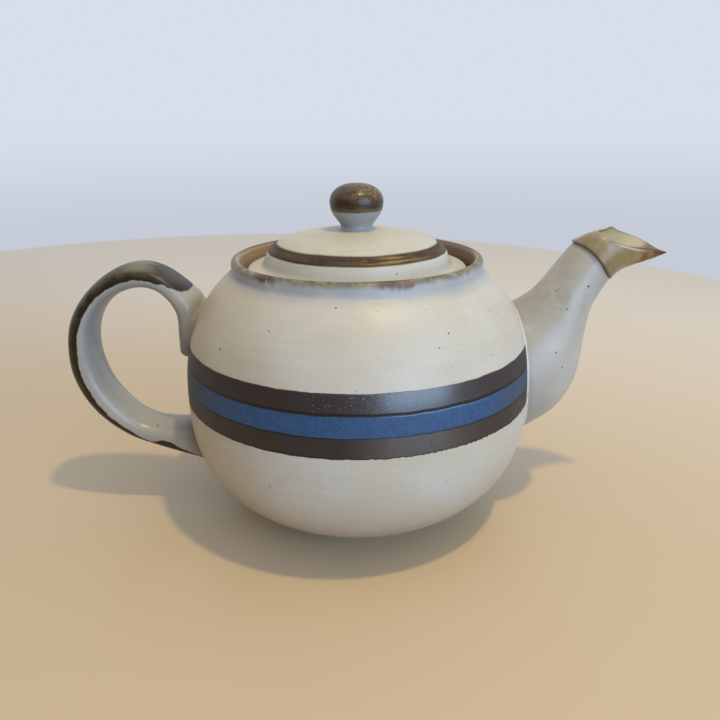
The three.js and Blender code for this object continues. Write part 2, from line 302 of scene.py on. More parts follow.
def bridge_in_order(piece: Object, rings: int, sides: int) -> None:
    """Bridges a stack of rings and closes its two ends.

    Args:
        piece: the mesh that holds the rings, in order.
        rings: how many there are.
        sides: how many corners each has.
    """
    with Editing(piece):
        bpy.ops.mesh.select_all(action="SELECT")
        bpy.ops.mesh.bridge_edge_loops()
    for ends in (range(sides), range((rings - 1) * sides, rings * sides)):
        with Editing(piece):
            bpy.ops.mesh.select_all(action="DESELECT")
        for corner in ends:
            piece.data.vertices[corner].select = True
        with Editing(piece):
            bpy.ops.mesh.edge_face_add()
            bpy.ops.mesh.select_all(action="SELECT")
            bpy.ops.mesh.normals_make_consistent(inside=False)


def wrap_uv(piece: Object, sections: Sequence[Section], sides: int) -> None:
    """Gives a pulled piece a UV map: U along it, V from its right rail to its left one.

    Args:
        piece: the pulled mesh, ring after ring.
        sections: the sections it was made from.
        sides: corners in each ring.
    """
    layer = piece.data.uv_layers.new(name="strap")
    for loop in piece.data.loops:
        ring = loop.vertex_index // sides
        section = sections[ring]
        out = piece.data.vertices[loop.vertex_index].co - section.middle
        across = out.dot(section.half) / section.half.length_squared
        layer.data[loop.index].uv = (ring / (len(sections) - 1), 0.5 + 0.5 * across)


def carve(piece: Object, cutter: Object) -> None:
    """Cuts one closed mesh out of another, removes it and welds the slivers it left.

    Args:
        piece: the mesh to cut.
        cutter: the mesh that cuts it.
    """
    finish_with(piece, "BOOLEAN", object=cutter, operation="DIFFERENCE", solver="EXACT")
    bpy.data.objects.remove(cutter)
    with Editing(piece):
        bpy.ops.mesh.select_all(action="SELECT")
        bpy.ops.mesh.remove_doubles(threshold=SLIVER)
        bpy.ops.mesh.dissolve_degenerate(threshold=SLIVER)


def flare(piece: Object, onto: Object, reach: float, swell: float) -> None:
    """Swells the root of a luted piece where it comes near what carries it.

    Args:
        piece: the luted piece.
        onto: what it is luted to.
        reach: how far from the surface the swelling starts.
        swell: how far the piece swells at the surface.
    """
    group = piece.vertex_groups.new(name="root")
    group.add(range(len(piece.data.vertices)), 1.0, "REPLACE")
    near = {"proximity_mode": "GEOMETRY", "proximity_geometry": {"FACE"}, "falloff_type": "SHARP"}
    span = {"min_dist": reach, "max_dist": 0.0}
    finish_with(piece, "VERTEX_WEIGHT_PROXIMITY", vertex_group="root", target=onto, **near, **span)
    finish_with(piece, "DISPLACE", vertex_group="root", strength=swell, mid_level=0.0)
    piece.vertex_groups.clear()


def spline(points: Sequence[Sequence[float]], share: float) -> Vector:
    """A point on the smooth curve through a list of points.

    Args:
        points: what the curve passes through, evenly timed.
        share: how far along it, from 0 to 1.

    Returns:
        The point, with as many numbers as those given.
    """
    last = len(points) - 1
    place = share * last
    index = min(int(place), last - 1)
    t = place - index
    around = [Vector(points[min(max(index + k, 0), last)]) for k in (-1, 0, 1, 2)]
    p0, p1, p2, p3 = around
    leave = (p2 - p0) / 2
    arrive = (p3 - p1) / 2
    cubic = (2 * p1 - 2 * p2 + leave + arrive) * t**3
    square = (-3 * p1 + 3 * p2 - 2 * leave - arrive) * t**2
    return cubic + square + leave * t + p1


def shares(count: int) -> list[float]:
    """Evenly spaced numbers from 0 to 1, with count steps between them."""
    return [i / count for i in range(count + 1)]


def in_metres(pairs: Iterable[Sequence[float]]) -> Outline:
    """Turns an outline's millimetres into metres."""
    return [(radius * MM, height * MM) for radius, height in pairs]


def present(piece: Object, body: Body, slot: Slot, finish: Material, *nodes: str) -> Object:
    """Dresses a finished piece, hangs it on its body and lets it stand for its solids.

    Args:
        piece: the finished piece.
        body: the body it moves with.
        slot: the record's slot for its finish; not used.
        finish: its material.
        nodes: the solids it stands for.

    Returns:
        The same piece.
    """
    piece.data.materials.clear()
    piece.data.materials.append(finish)
    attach(piece, body.value)
    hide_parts(*nodes)
    log.info("%s: %d faces, for %s", piece.name, len(piece.data.polygons), ", ".join(nodes))
    return piece


# The belly, which the body is thrown to and the luted pieces are cut back to


@dataclass(frozen=True)
class Shell:
    """One skin of the belly: a squashed oval above and below its widest height."""

    radius: float
    above: float
    below: float
    middle: float = 56.1 * MM
    power_above: float = 2.38
    power_below: float = 2.57

    def angle(self, height: float) -> float:
        """Finds the oval's angle at a height.

        Args:
            height: the height.

        Returns:
            The angle, negative below the middle.
        """
        up = height > self.middle
        reach, power = (self.above, self.power_above) if up else (self.below, self.power_below)
        angle = math.asin((abs(height - self.middle) / reach) ** (power / 2))
        return angle if up else -angle

    def point(self, angle: float) -> tuple[float, float]:
        """Finds a point on the skin.

        Args:
            angle: the oval's angle.

        Returns:
            The point's radius and height.
        """
        up = angle > 0
        reach = self.above if up else -self.below
        exponent = 2 / (self.power_above if up else self.power_below)
        radius = self.radius * math.cos(angle) ** exponent
        return radius, self.middle + reach * abs(math.sin(angle)) ** exponent

    def arc(self, start: float, end: float, count: int) -> Outline:
        """Points on the skin from one height to another."""
        first, last = self.angle(start), self.angle(end)
        return [self.point(first + (last - first) * share) for share in shares(count)]

    def grown(self, by: float) -> "Shell":
        """The same skin, moved outwards."""
        return Shell(self.radius + by, self.above + by, self.below + by, self.middle)


BELLY = Shell(72.5 * MM, 64.5 * MM, 56.3 * MM)


# Materials

MIX_COLOURS = {"factor": 0, "under": 6, "over": 7, "result": 2}


class Wiring:
    """Lays down nodes in one tree and joins them."""

    def __init__(self, tree: bpy.types.NodeTree) -> None:
        """Remembers the tree."""
        self.tree = tree

    def fill(self, node: Node, values: dict) -> None:
        """Sets a node's inputs.

        Args:
            node: the node.
            values: a number, a colour or a socket for each input.
        """
        for key, value in values.items():
            if isinstance(value, Socket):
                self.tree.links.new(value, node.inputs[key])
            else:
                node.inputs[key].default_value = value

    def add(self, kind: str, values: dict, **settings: object) -> Node:
        """Adds a node.

        Args:
            kind: the node's type.
            values: a number, a colour or a socket for each input.
            settings: the node's own settings.

        Returns:
            The new node.
        """
        node = self.tree.nodes.new(kind)
        for key, value in settings.items():
            setattr(node, key, value)
        self.fill(node, values)
        return node

    def math(self, operation: str, *values: Value, clamp: bool = False) -> Socket:
        """Adds a maths node.

        Args:
            operation: what it works out.
            values: its one to three values.
            clamp: whether the result is kept from 0 to 1.

        Returns:
            The result.
        """
        node = self.add("ShaderNodeMath", dict(enumerate(values)), operation=operation)
        node.use_clamp = clamp
        return node.outputs[0]

    def times(self, *values: Value) -> Value:
        """Multiplies the values, one after the other."""
        return reduce(lambda product, value: self.math("MULTIPLY", product, value), values)

    def most(self, *values: Value) -> Value:
        """Finds the largest of the values."""
        return reduce(lambda largest, value: self.math("MAXIMUM", largest, value), values)

    def scaled(self, value: Value, by: Value, plus: Value) -> Socket:
        """The value times one number, plus another."""
        return self.math("MULTIPLY_ADD", value, by, plus)

    def blend(self, factor: Value, under: Paint, over: Paint) -> Socket:
        """Lays one colour over another.

        Args:
            factor: the share of the colour on top.
            under: the colour below.
            over: the colour on top.

        Returns:
            The mixed colour.
        """
        values = {
            MIX_COLOURS["factor"]: factor,
            MIX_COLOURS["under"]: under,
            MIX_COLOURS["over"]: over,
        }
        mix = self.add("ShaderNodeMix", values, data_type="RGBA")
        return mix.outputs[MIX_COLOURS["result"]]

    def lay(self, under: Paint, code: str, *shares: Value) -> Socket:
        """Lays a display colour over another, by the product of the shares."""
        return self.blend(self.times(*shares), under, tint(code))

    def fade(self, value: Value, start: float, end: float) -> Socket:
        """Rises smoothly from 0 to 1.

        Args:
            value: what it follows.
            start: the value at which it is 0.
            end: the value at which it is 1.

        Returns:
            The share.
        """
        values = {"Value": value, "From Min": start, "From Max": end}
        node = self.add("ShaderNodeMapRange", values, interpolation_type="SMOOTHSTEP")
        return node.outputs[0]

    def between(self, value: Socket, low: float, high: float, soft: float) -> Socket:
        """Is 1 from low to high and falls to 0 over soft on either side."""
        rise = self.fade(value, low - soft, low + soft)
        return self.times(rise, self.fade(value, high + soft, high - soft))


class Recipe(Wiring):
    """Lays down one material's nodes, from its patterns to its surface."""

    def __init__(self, name: str) -> None:
        """Starts a material with only its principled surface.

        Args:
            name: the material's name.
        """
        self.material = bpy.data.materials.new(name)
        self.material.use_nodes = True
        super().__init__(self.material.node_tree)
        self.surface = self.tree.nodes["Principled BSDF"]
        coordinates = self.tree.nodes.new("ShaderNodeTexCoord")
        self.place = coordinates.outputs["Object"]
        apart = self.add("ShaderNodeSeparateXYZ", {0: self.place})
        self.x, self.y, self.z = apart.outputs
        strap = self.add("ShaderNodeSeparateXYZ", {0: coordinates.outputs["UV"]})
        self.along, self.across = strap.outputs[0], strap.outputs[1]

    def noise(
        self,
        grain: float,
        detail: float = 2.0,
        roughness: float = 0.5,
        place: Socket | None = None,
        distortion: float = 0.0,
    ) -> Socket:
        """Cloudy noise around a half.

        Args:
            grain: the size of its clouds, in metres.
            detail: how many finer layers it has.
            roughness: how strong those are.
            place: where it is read, or the object's own place.
            distortion: how far it is swirled.

        Returns:
            The noise, from 0 to 1.
        """
        values = {
            "Vector": place or self.place,
            "Scale": 1 / grain,
            "Detail": detail,
            "Roughness": roughness,
            "Distortion": distortion,
        }
        return self.add("ShaderNodeTexNoise", values).outputs[0]

    def brushed(
        self,
        x: float,
        y: float,
        z: float,
        detail: float = 3.0,
        roughness: float = 0.6,
    ) -> Socket:
        """Streaky noise, as a brush or a wheel leaves.

        Args:
            x: how many streaks there are to a metre of X.
            y: how many to a metre of Y.
            z: how many to a metre of Z.
            detail: how many finer layers it has.
            roughness: how strong those are.

        Returns:
            The noise, from 0 to 1.
        """
        mapping = self.add("ShaderNodeMapping", {"Vector": self.place, "Scale": (x, y, z)})
        return self.noise(1.0, detail, roughness, mapping.outputs[0])

    def specks(self, spacing: float, radius: float, shift: float = 0.0) -> Socket:
        """Small round specks, scattered through the clay.

        Args:
            spacing: the mean distance between them, in metres.
            radius: the largest speck's radius, in metres.
            shift: moves the pattern, so that two layers differ.

        Returns:
            A mask that is 1 inside a speck.
        """
        moved = self.add("ShaderNodeMapping", {"Vector": self.place, "Location": (shift,) * 3})
        values = {"Vector": moved.outputs[0], "Scale": 1 / spacing}
        cells = self.add("ShaderNodeTexVoronoi", values)
        share = radius / spacing
        size = self.scaled(cells.outputs["Color"], 0.5 * share, 0.5 * share)
        depth = self.math("SUBTRACT", size, cells.outputs["Distance"])
        return self.fade(depth, 0.0, 0.3 * share)

    def off_belly(self) -> Socket:
        """How far a point near the belly's skin lies outside it, in metres.

        Returns:
            The distance, negative inside.
        """
        rise = self.math("SUBTRACT", self.z, BELLY.middle)
        low = self.math("LESS_THAN", rise, 0.0)
        power = self.scaled(low, BELLY.power_below - BELLY.power_above, BELLY.power_above)
        reach = self.scaled(low, BELLY.below - BELLY.above, BELLY.above)
        up = self.math("DIVIDE", self.math("ABSOLUTE", rise), reach)
        out = self.math("DIVIDE", self.radius(), BELLY.radius)
        total = self.math("ADD", self.math("POWER", up, power), self.math("POWER", out, power))
        level = self.math("POWER", total, self.math("DIVIDE", 1.0, power))
        return self.times(self.math("SUBTRACT", level, 1.0), BELLY.radius)

    def radius(self) -> Socket:
        """The distance from the pot's axis."""
        square = self.math("ADD", self.math("POWER", self.x, 2.0), self.math("POWER", self.y, 2.0))
        return self.math("POWER", square, 0.5)

    def relief(self, height: Socket, depth: float, under: Socket | None = None) -> Socket:
        """Turns a height from 0 to 1 into a dented normal.

        Args:
            height: the height.
            depth: how deep the dents are, in metres.
            under: the normal of a coarser relief.

        Returns:
            The normal.
        """
        values: dict = {"Height": height, "Distance": depth, "Strength": 1.0}
        if under is not None:
            values["Normal"] = under
        return self.add("ShaderNodeBump", values).outputs[0]

    def dress(self, colour: Paint, **values: object) -> Material:
        """Sets the surface's sockets.

        Args:
            colour: the base colour.
            values: the other sockets, spaces in their names written as underscores.

        Returns:
            The finished material.
        """
        sockets = {key.replace("_", " "): value for key, value in values.items()}
        self.fill(self.surface, {"Base Color": colour, **sockets})
        return self.material


@dataclass(frozen=True)
class Oatmeal:
    """The satin oatmeal glaze that all the stoneware shares, over an iron-specked clay."""

    cream: str = "#c9c4b8"
    warm: str = "#c4bcab"
    cool: str = "#a9aeb6"
    pale: str = "#e6e4de"
    speck: str = "#1d1511"
    faint: str = "#84796c"
    least_rough: float = 0.38
    most_rough: float = 0.50

    def ground(self, r: Recipe) -> Socket:
        """The clouded cream without its specks.

        Args:
            r: the material it goes into.

        Returns:
            Its colour.
        """
        clouds = r.fade(r.noise(0.030, 3.0), 0.35, 0.65)
        colour = r.blend(clouds, tint(self.cream), tint(self.warm))
        mottle = r.fade(r.noise(0.0016, 4.0, 0.65), 0.30, 0.75)
        colour = r.lay(colour, self.faint, mottle, 0.09)
        thrown = r.fade(r.brushed(28, 28, 420), 0.45, 0.75)
        return r.lay(colour, self.pale, thrown, 0.10)

    def cooled(self, r: Recipe, colour: Socket, *amounts: Value) -> Socket:
        """Turns the glaze towards lavender grey where it lies thick."""
        return r.lay(colour, self.cool, *amounts)

    def specked(self, r: Recipe, colour: Socket) -> Socket:
        """Lays the iron specks over a colour.

        Args:
            r: the material they go into.
            colour: what they lie on.

        Returns:
            The new colour.
        """
        colour = r.lay(colour, self.faint, r.specks(0.0030, 0.00032, 3.1), 0.35)
        colour = r.lay(colour, self.faint, r.specks(0.0048, 0.00044, 1.7), 0.75)
        return r.lay(colour, self.speck, r.specks(0.0067, 0.00055, 0.4), 0.97)

    def skin(self, r: Recipe) -> Socket:
        """The glaze's slightly uneven surface, as a normal."""
        slow = r.relief(r.noise(0.012, 2.0), 0.00016)
        return r.relief(r.noise(0.0012, 3.0), 0.00001, slow)

    def sheen(self, r: Recipe) -> Socket:
        """The glaze's roughness, a little uneven."""
        span = {"To Min": self.least_rough, "To Max": self.most_rough}
        return r.add("ShaderNodeMapRange", {"Value": r.noise(0.006, 3.0), **span}).outputs[0]


@dataclass(frozen=True)
class BrushedIron:
    """The brushed olive-brown iron glaze of the lid's ring, the knob and the handle."""

    olive: str
    brown: str
    dark: str
    gold: str

    def colour(self, r: Recipe, streak: Socket) -> Socket:
        """The streaked glaze.

        Args:
            r: the material it goes into.
            streak: noise stretched along the brush.

        Returns:
            Its colour.
        """
        base = r.blend(r.fade(streak, 0.36, 0.62), tint(self.brown), tint(self.olive))
        spots = r.fade(r.noise(0.0022, 4.0, 0.7), 0.56, 0.70)
        base = r.lay(base, self.dark, spots, 0.8)
        glints = r.fade(r.noise(0.0031, 3.0, 0.6, distortion=0.6), 0.60, 0.74)
        return r.lay(base, self.gold, glints, 0.6)


@dataclass
class Painted:
    """What the stripes leave on the pot.

    The masks are of all three stripes, of the two brown ones, and of the line scored under the
    upper brown one.
    """

    colour: Socket
    stripes: Socket
    browns: Socket
    score: Socket


@dataclass(frozen=True)
class Stripes:
    """A brown, a blue and a brown stripe round the belly, with dark lines at their edges."""

    lowest: float = 56.16 * MM
    low: float = 63.51 * MM
    high: float = 71.80 * MM
    highest: float = 78.83 * MM
    soft: float = 0.08 * MM
    brown: str = "#2a1e1a"
    brown_streak: str = "#2f2627"
    brown_stain: str = "#1f1311"
    blue_dark: str = "#1c3759"
    blue_light: str = "#2d557f"
    blue_cloud: str = "#23446b"
    blue_fleck: str = "#36598a"
    blue_left_end: str = "#2e3238"
    # Painted shade on the stripe's right end.
    blue_painted_shade: str = "#333d52"
    line: str = "#060404"
    rust: str = "#5a3018"
    # Painted highlights: sparkle on the brown and a bright edge under its line.
    painted_sparkle: str = "#9aa6bd"
    painted_glint: str = "#8fa6c8"

    def browned(self, r: Recipe, streak: Socket) -> Socket:
        """The brown stripes' colour, with dark stains low in front.

        Args:
            r: the material it goes into.
            streak: noise stretched round the pot.

        Returns:
            Its colour.
        """
        colour = r.lay(tint(self.brown), self.brown_streak, streak, 0.6)
        stains = r.fade(r.noise(0.0090, 3.0, 0.6), 0.62, 0.72)
        colour = r.lay(colour, self.line, stains, 0.6)
        front = r.fade(r.y, 0, -9 * MM)
        below = r.math("LESS_THAN", r.z, self.low)
        spill = r.between(r.x, -9 * MM, 0.0, 2 * MM)
        return r.lay(colour, self.brown_stain, spill, front, below, 0.7)

    def denim(self, r: Recipe, streak: Socket) -> Socket:
        """The blue stripe's colour, greyer and darker at its left end and with painted shade on
        the right.

        Args:
            r: the material it goes into.
            streak: noise stretched round the pot.

        Returns:
            Its colour.
        """
        cloud = r.fade(r.noise(0.0070, 4.0, 0.6), 0.35, 0.65)
        fleck = r.fade(r.noise(0.0015, 4.0, 0.75), 0.40, 0.62)
        colour = r.blend(streak, tint(self.blue_dark), tint(self.blue_light))
        colour = r.lay(colour, self.blue_cloud, cloud, 0.45)
        colour = r.lay(colour, self.blue_fleck, fleck, 0.6)
        # Greyer and darker towards the left end.
        colour = r.lay(colour, self.blue_left_end, r.fade(r.x, -46 * MM, -66 * MM), 0.75)
        # Painted shade: darker towards the spout on the right.
        return r.lay(colour, self.blue_painted_shade, r.fade(r.x, 44 * MM, 62 * MM), 0.80)

    def lit(self, r: Recipe, colour: Socket, height: Socket, browns: Socket) -> Socket:
        """Adds painted highlights: spots that sparkle in the upper brown and a bright edge under
        its line.

        Args:
            r: the material they go into.
            colour: the striped glaze.
            height: the height, a little unsteady.
            browns: a mask of the brown stripes.

        Returns:
            The new colour.
        """
        sparkle_spots = r.times(r.specks(0.0011, 0.00030, 7.0), browns)
        front = r.between(r.x, -18 * MM, 12 * MM, 8 * MM)
        upper = r.fade(height, self.high, self.high + 2 * MM)
        # Painted highlights: pale sparkling spots on the front of the upper brown.
        colour = r.lay(colour, self.painted_sparkle, sparkle_spots, front, upper, 0.5)
        edge = r.between(height, self.high - 0.95 * MM, self.high - 0.70 * MM, 0.1 * MM)
        right = r.between(r.x, 12 * MM, 42 * MM, 8 * MM)
        # Painted highlight: a bright edge just under the scored line, right of the front.
        return r.lay(colour, self.painted_glint, edge, right, r.fade(r.y, 0.0, -20 * MM), 0.6)

    def painted(self, r: Recipe, colour: Socket, outside: Socket) -> Painted:
        """Lays the three stripes and the dark lines at their edges.

        Args:
            r: the material.
            colour: the glaze under them.
            outside: 1 on the outside of the belly.

        Returns:
            The new colour and the masks.
        """
        height = r.math("ADD", r.z, r.scaled(r.noise(0.0060, 2.0, 0.5), 0.0007, -0.00035))
        bitten = r.scaled(r.fade(r.x, -30 * MM, 45 * MM), 0.80, 0.20)
        ragged = r.scaled(r.noise(0.0016, 3.0, 0.6), 0.0018, -0.0009)
        bottom = r.scaled(ragged, bitten, height)
        under = r.fade(height, self.highest + self.soft, self.highest - self.soft)
        over = r.fade(bottom, self.lowest - self.soft, self.lowest + self.soft)
        mask = r.times(under, over, outside)
        blue = r.between(height, self.low, self.high, self.soft)
        streak = r.brushed(35, 35, 900)
        stripes = r.blend(blue, self.browned(r, streak), self.denim(r, streak))
        colour = r.blend(mask, colour, stripes)
        browns = r.times(mask, r.math("SUBTRACT", 1.0, blue))
        for wavy, middle, half, tone in (
            (height, self.low, 0.34 * MM, self.line),
            (height, self.high, 0.56 * MM, self.line),
            (bottom, self.lowest, 0.32 * MM, self.line),
            (height, self.highest, 0.18 * MM, self.rust),
        ):
            line = r.between(wavy, middle - half, middle + half, self.soft)
            colour = r.lay(colour, tone, line, outside, 0.97)
        colour = self.lit(r, colour, height, browns)
        score = r.between(height, self.high - 0.4 * MM, self.high + 0.4 * MM, 0.2 * MM)
        return Painted(colour, mask, browns, r.times(score, outside))


@dataclass(frozen=True)
class IronRim:
    """Iron glaze over the rim: olive where it is thin, brown in its runs."""

    height: float = 110.9 * MM
    dark_olive: str = "#403b25"
    olive: str = "#7f7858"
    grey: str = "#8f8c80"
    run: str = "#2c1d15"
    rusty_run: str = "#6a4522"
    back: str = "#3a3024"
    # Worn glaze and painted highlight: the pale lip along the front.
    lighter_tone: str = "#b9ae92"

    def runs(self, r: Recipe, brush: Socket) -> Socket:
        """Where the glaze has run: two places in front and a few elsewhere.

        Args:
            r: the material they go into.
            brush: noise stretched round the rim.

        Returns:
            Their mask.
        """
        left = r.between(r.x, -37 * MM, -29 * MM, 2 * MM)
        right = r.between(r.x, 7 * MM, 19 * MM, 3 * MM)
        front = r.times(r.most(left, right), r.fade(r.y, -10 * MM, -20 * MM))
        elsewhere = r.fade(r.noise(0.0120, 1.0, 0.4), 0.60, 0.68)
        return r.times(r.most(front, elsewhere), r.fade(brush, 0.25, 0.48))

    def laid(self, r: Recipe, colour: Socket, radius: Socket) -> Socket:
        """Lays the iron over the rim.

        Args:
            r: the material it goes into.
            colour: the glaze under it.
            radius: the distance from the pot's axis.

        Returns:
            The new colour.
        """
        brush = r.brushed(420, 420, 90, 4.0, 0.65)
        cloud = r.noise(0.0085, 3.0, 0.6)
        olive = r.blend(r.fade(brush, 0.35, 0.62), tint(self.dark_olive), tint(self.olive))
        olive = r.lay(olive, self.grey, r.fade(cloud, 0.5, 0.75))
        runs = self.runs(r, brush)
        level = r.math("ADD", r.z, r.scaled(cloud, 0.0040, -0.0020))
        level = r.scaled(runs, 0.0009, r.scaled(brush, 0.0016, level))
        mask = r.fade(level, self.height - 0.8 * MM, self.height + 1.6 * MM)
        brown = r.blend(r.fade(cloud, 0.40, 0.62), tint(self.run), tint(self.rusty_run))
        iron = r.blend(r.times(runs, 0.9), olive, brown)
        iron = r.lay(iron, self.back, r.fade(r.y, 0.0, 22 * MM), 0.8)
        colour = r.blend(r.times(mask, 0.92), colour, iron)
        # Worn glaze and painted highlight: a pale lip on the front half of the rim.
        lip = r.between(radius, 48.5 * MM, 49.1 * MM, 0.25 * MM)
        top = r.fade(r.z, 110.0 * MM, 110.8 * MM)
        return r.lay(colour, self.lighter_tone, lip, top, r.fade(r.y, 10 * MM, -5 * MM), 0.75)


@dataclass(frozen=True)
class BareClay:
    """Unglazed clay with its throwing rings, and painted shade that darkens it towards the spout.
    """

    pale: str = "#b0977b"
    ringed: str = "#94785d"
    # Painted shade: the clay darkens towards the spout.
    dark: str = "#5e4834"
    foot_height: float = 2.4 * MM

    def shown(self, r: Recipe, colour: Socket, radius: Socket) -> Socket:
        """Shows the clay inside the neck, on its ledge and under the foot.

        Args:
            r: the material it goes into.
            colour: the glaze everywhere else.
            radius: the distance from the pot's axis.

        Returns:
            The new colour.
        """
        above = r.fade(r.z, 100.0 * MM, 100.4 * MM)
        neck = r.times(above, r.fade(radius, 48.6 * MM, 48.2 * MM))
        foot = r.fade(r.z, self.foot_height, self.foot_height - 0.4 * MM)
        rings = r.brushed(20, 20, 1400, 2.0, 0.5)
        clay = r.blend(rings, tint(self.pale), tint(self.ringed))
        # Painted shade: darker towards the spout.
        clay = r.lay(clay, self.dark, r.fade(r.x, -5 * MM, 35 * MM), 0.6)
        return r.blend(r.most(neck, foot), colour, clay)


@dataclass(frozen=True)
class StripedGlaze:
    """The pot's glaze: oatmeal with three stripes and an iron rim, over bare clay."""

    oatmeal: Oatmeal = Oatmeal(cool="#a2a5aa")
    stripes: Stripes = Stripes()
    rim: IronRim = IronRim()
    clay: BareClay = BareClay()
    # Painted shade: a warmer, darker tone laid over the left side.
    left: str = "#b7a282"
    # Thin glaze and painted shade under the belly, laid towards the foot.
    thin_and_shaded: str = "#a1917c"
    outside_radius: float = 69.0 * MM

    def ground(self, r: Recipe) -> Socket:
        """The oatmeal: lavender under the rim, painted shade warmer and darker to the left, thin
        glaze and painted shade towards the foot.

        Args:
            r: the material it goes into.

        Returns:
            Its colour.
        """
        lavender = r.between(r.z, 105 * MM, 111 * MM, 2.2 * MM)
        thick = r.scaled(r.fade(r.noise(0.014, 3.0), 0.25, 0.7), 0.5, 0.45)
        colour = self.oatmeal.cooled(r, self.oatmeal.ground(r), lavender, thick)
        # Painted shade: warmer and darker towards the left.
        colour = r.lay(colour, self.left, r.fade(r.x, -25 * MM, -70 * MM), 0.38)
        # Thin glaze and painted shade: darker towards the foot.
        colour = r.lay(colour, self.thin_and_shaded, r.fade(r.z, 44 * MM, 10 * MM), 0.72)
        return self.oatmeal.specked(r, colour)

    def material(self) -> Material:
        """Mixes the finish.

        Returns:
            The finished material.
        """
        r = Recipe("striped glaze")
        radius = r.radius()
        outside = r.fade(radius, self.outside_radius - 0.2 * MM, self.outside_radius + 0.2 * MM)
        painted = self.stripes.painted(r, self.ground(r), outside)
        colour = self.rim.laid(r, painted.colour, radius)
        colour = self.clay.shown(r, colour, radius)
        glossy = r.between(r.x, 2 * MM, 38 * MM, 14 * MM)
        rough = r.scaled(painted.stripes, 0.10, self.oatmeal.sheen(r))
        rough = r.scaled(r.times(painted.browns, glossy), -0.26, rough)
        scored = r.math("SUBTRACT", 1.0, painted.score)
        normal = r.relief(scored, 0.00020, self.oatmeal.skin(r))
        grit = r.times(r.noise(0.0006, 3.0, 0.7), painted.browns)
        normal = r.relief(grit, 0.00022, normal)
        coated = r.math("SUBTRACT", painted.browns, painted.score, clamp=True)
        coat = r.times(coated, r.scaled(glossy, 0.82, 0.08))
        surface = {"Coat_Weight": coat, "Coat_Roughness": 0.26, "Coat_IOR": 1.75}
        return r.dress(colour, Roughness=rough, Normal=normal, **surface)


@dataclass(frozen=True)
class SpoutGlaze:
    """The spout's oatmeal glaze: painted shade along its belly and join, and a pale ridge of thin
    glaze and painted highlight.
    """

    oatmeal: Oatmeal = Oatmeal(cream="#bab6ab", warm="#b0a999", cool="#a9a9a6")
    pale_ridge_highlight: str = "#d6d4cc"
    shadow: str = "#7a7268"
    # Painted shade near the join with the pot.
    root: str = "#8f8a80"

    def material(self) -> Material:
        """Mixes the finish.

        Returns:
            The finished material.
        """
        r = Recipe("oatmeal glaze")
        cloud = r.fade(r.noise(0.03, 2.0), 0.3, 0.7)
        colour = self.oatmeal.cooled(r, self.oatmeal.ground(r), cloud, 0.55)
        # Painted shade in patches under the tip.
        shade_patches = r.fade(r.noise(0.009, 3.0), 0.40, 0.62)
        under_tip = r.between(r.z, 92 * MM, 100 * MM, 8 * MM)
        colour = r.lay(colour, self.shadow, under_tip, shade_patches, 0.35)
        colour = self.oatmeal.specked(r, colour)
        off = r.off_belly()
        # Painted shade in the hollow of the join.
        hollow = r.between(off, 1.1 * MM, 1.8 * MM, 0.7 * MM)
        low = r.scaled(r.fade(r.z, 85 * MM, 65 * MM), 0.25, 0.15)
        colour = r.lay(colour, self.shadow, hollow, low)
        # Painted shade darkening the spout near the pot.
        colour = r.lay(colour, self.root, r.fade(off, 18 * MM, 3 * MM), 0.45)
        # Thin glaze and painted highlight: a pale ridge along the join.
        colour = r.lay(colour, self.pale_ridge_highlight, r.fade(off, 0.7 * MM, 0.4 * MM), 0.8)
        return r.dress(colour, Roughness=0.35, Normal=self.oatmeal.skin(r))


